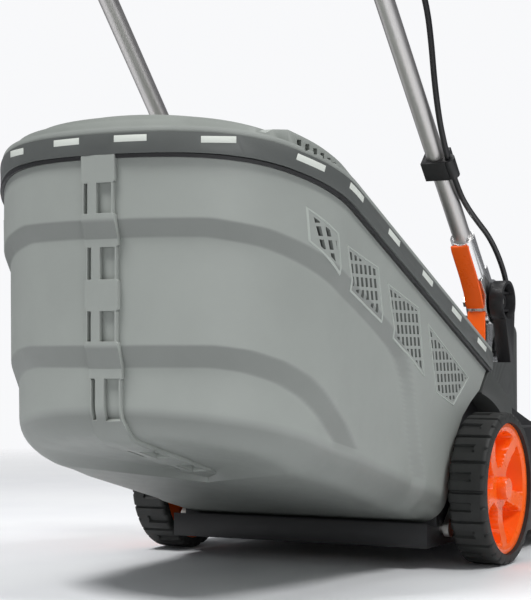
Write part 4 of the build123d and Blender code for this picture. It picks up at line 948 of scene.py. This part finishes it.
def cable(name, route, node_name):
    """Round cable along one smooth curve, as a mesh."""
    data = bpy.data.curves.new(name, "CURVE")
    data.dimensions = "3D"
    data.bevel_depth = CABLE_R
    data.bevel_resolution = 6
    data.use_fill_caps = True
    spline = data.splines.new("NURBS")
    spline.points.add(len(route) - 1)
    for point, place in zip(spline.points, route):
        point.co = (*place, 1.0)
    spline.order_u = 3
    spline.use_endpoint_u = True
    spline.resolution_u = 16
    curve = bpy.data.objects.new(f"{name}_curve", data)
    bpy.context.scene.collection.objects.link(curve)
    depsgraph = bpy.context.evaluated_depsgraph_get()
    mesh = bpy.data.meshes.new_from_object(curve.evaluated_get(depsgraph))
    bpy.data.objects.remove(curve)
    obj = bpy.data.objects.new(name, mesh)
    bpy.context.scene.collection.objects.link(obj)
    mesh.materials.clear()
    mesh.materials.append(MATERIALS["cable"])
    smooth(obj, 60.0)
    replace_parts(obj, node_name)
    return obj


lower_lead = cable("lead_lower", LOWER_ROUTE, "cable_lower")
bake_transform(lower_lead)
upper_lead = cable("lead_upper", UPPER_ROUTE, "cable_upper")
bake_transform(upper_lead)


# ---- grip ----
GRIP_D, GRIP_LENGTH, GRIP_R, GRIP_BORE_R, GRIP_EDGE_R = 0.955, 0.156, 0.0146, 0.0111, 0.002
GRIP_RIBS, GRIP_RIB_DEPTH, GRIP_RINGS, GRIP_AROUND = 26, 0.0004, 312, 48


def grip_mesh():
    """Foam sleeve with shallow finger ribs."""
    middle_y, middle_z = along_handle(GRIP_D)
    rings = []
    for i in range(GRIP_RINGS + 1):
        t = i / GRIP_RINGS
        edge = min(t, 1 - t) * GRIP_LENGTH
        r = GRIP_R + GRIP_RIB_DEPTH * math.sin(2 * math.pi * GRIP_RIBS * t)
        if edge < GRIP_EDGE_R:
            r -= GRIP_EDGE_R - math.sqrt(max(0.0, GRIP_EDGE_R ** 2 - (GRIP_EDGE_R - edge) ** 2))
        rings.append((GRIP_LENGTH * (t - 0.5), r))
    rings += [(GRIP_LENGTH / 2, GRIP_BORE_R), (-GRIP_LENGTH / 2, GRIP_BORE_R)]
    vertices = []
    for x, r in rings:
        for k in range(GRIP_AROUND):
            angle = 2 * math.pi * k / GRIP_AROUND
            vertices.append((x, middle_y + r * math.cos(angle), middle_z + r * math.sin(angle)))
    faces = ring_faces(len(rings), GRIP_AROUND)
    obj = new_mesh("grip_foam", vertices, faces, MATERIALS["foam"])
    smooth(obj, 40.0)
    settle(obj, ["grip_sleeve"], "upper_handle")


grip_mesh()


# ---- floor and light ----
FLOOR_R, FLOOR_FADE_R = 2.6, 1.3


def stage_material():
    """Pale matt floor with a faint mottle, fading out towards its edge."""
    material, shader = new_material("studio_floor")
    tree = material.node_tree
    base = ramp(tree, noise(tree, 3.0, 3.0), (0.83, 0.84, 0.86), (0.88, 0.89, 0.90))
    tree.links.new(base, shader.inputs["Base Color"])
    shader.inputs["Roughness"].default_value = 0.6
    coordinates = tree.nodes.new("ShaderNodeTexCoord")
    reach = tree.nodes.new("ShaderNodeVectorMath")
    reach.operation = "LENGTH"
    tree.links.new(coordinates.outputs["Object"], reach.inputs["Vector"])
    fade = tree.nodes.new("ShaderNodeMapRange")
    fade.inputs["From Min"].default_value = FLOOR_FADE_R
    fade.inputs["From Max"].default_value = FLOOR_R
    fade.inputs["To Min"].default_value = 1.0
    fade.inputs["To Max"].default_value = 0.0
    tree.links.new(reach.outputs["Value"], fade.inputs["Value"])
    tree.links.new(fade.outputs["Result"], shader.inputs["Alpha"])
    return material


def floor_disc():
    """Round floor, open to a camera from any side."""
    around = 96
    angles = [2 * math.pi * i / around for i in range(around)]
    vertices = [(FLOOR_R * math.cos(angle), FLOOR_R * math.sin(angle), 0.0) for angle in angles]
    new_mesh("studio_floor", vertices, [tuple(range(around))], stage_material())


def area_light(name, location, target, size, energy):
    """Square soft light aimed at a point."""
    data = bpy.data.lights.new(name, "AREA")
    data.shape = "SQUARE"
    data.size = size
    data.energy = energy
    light = bpy.data.objects.new(name, data)
    light.location = location
    direction = Vector(target) - Vector(location)
    light.rotation_euler = direction.to_track_quat("-Z", "Y").to_euler()
    bpy.context.scene.collection.objects.link(light)


floor_disc()
area_light("key_light", (-0.7, -1.7, 3.2), (0.0, -0.2, 0.3), 1.0, 95.0)
area_light("side_light", (2.1, -0.5, 3.0), (0.1, -0.2, 0.25), 1.0, 62.0)
area_light("fill_light", (1.9, -2.5, 0.7), (0.15, 0.0, 0.25), 1.0, 9.0)
area_light("top_light", (0.3, 0.9, 3.0), (0.0, 0.0, 0.2), 1.6, 22.0)

world = bpy.data.worlds.new("studio")
bpy.context.scene.world = world
world.use_nodes = True
sky = world.node_tree
room_light = sky.nodes["Background"]
room_light.inputs["Color"].default_value = (0.93, 0.95, 1.0, 1)
room_light.inputs["Strength"].default_value = 0.20
white_wall = sky.nodes.new("ShaderNodeBackground")
white_wall.inputs["Color"].default_value = (0.94, 0.945, 0.96, 1)
white_wall.inputs["Strength"].default_value = 1.0
seen = sky.nodes.new("ShaderNodeLightPath")
either = sky.nodes.new("ShaderNodeMixShader")
sky.links.new(seen.outputs["Is Camera Ray"], either.inputs["Fac"])
sky.links.new(room_light.outputs["Background"], either.inputs[1])
sky.links.new(white_wall.outputs["Background"], either.inputs[2])
sky.links.new(either.outputs["Shader"], sky.nodes["World Output"].inputs["Surface"])

bpy.context.scene.view_settings.view_transform = "Standard"
bpy.context.scene.view_settings.look = "None"
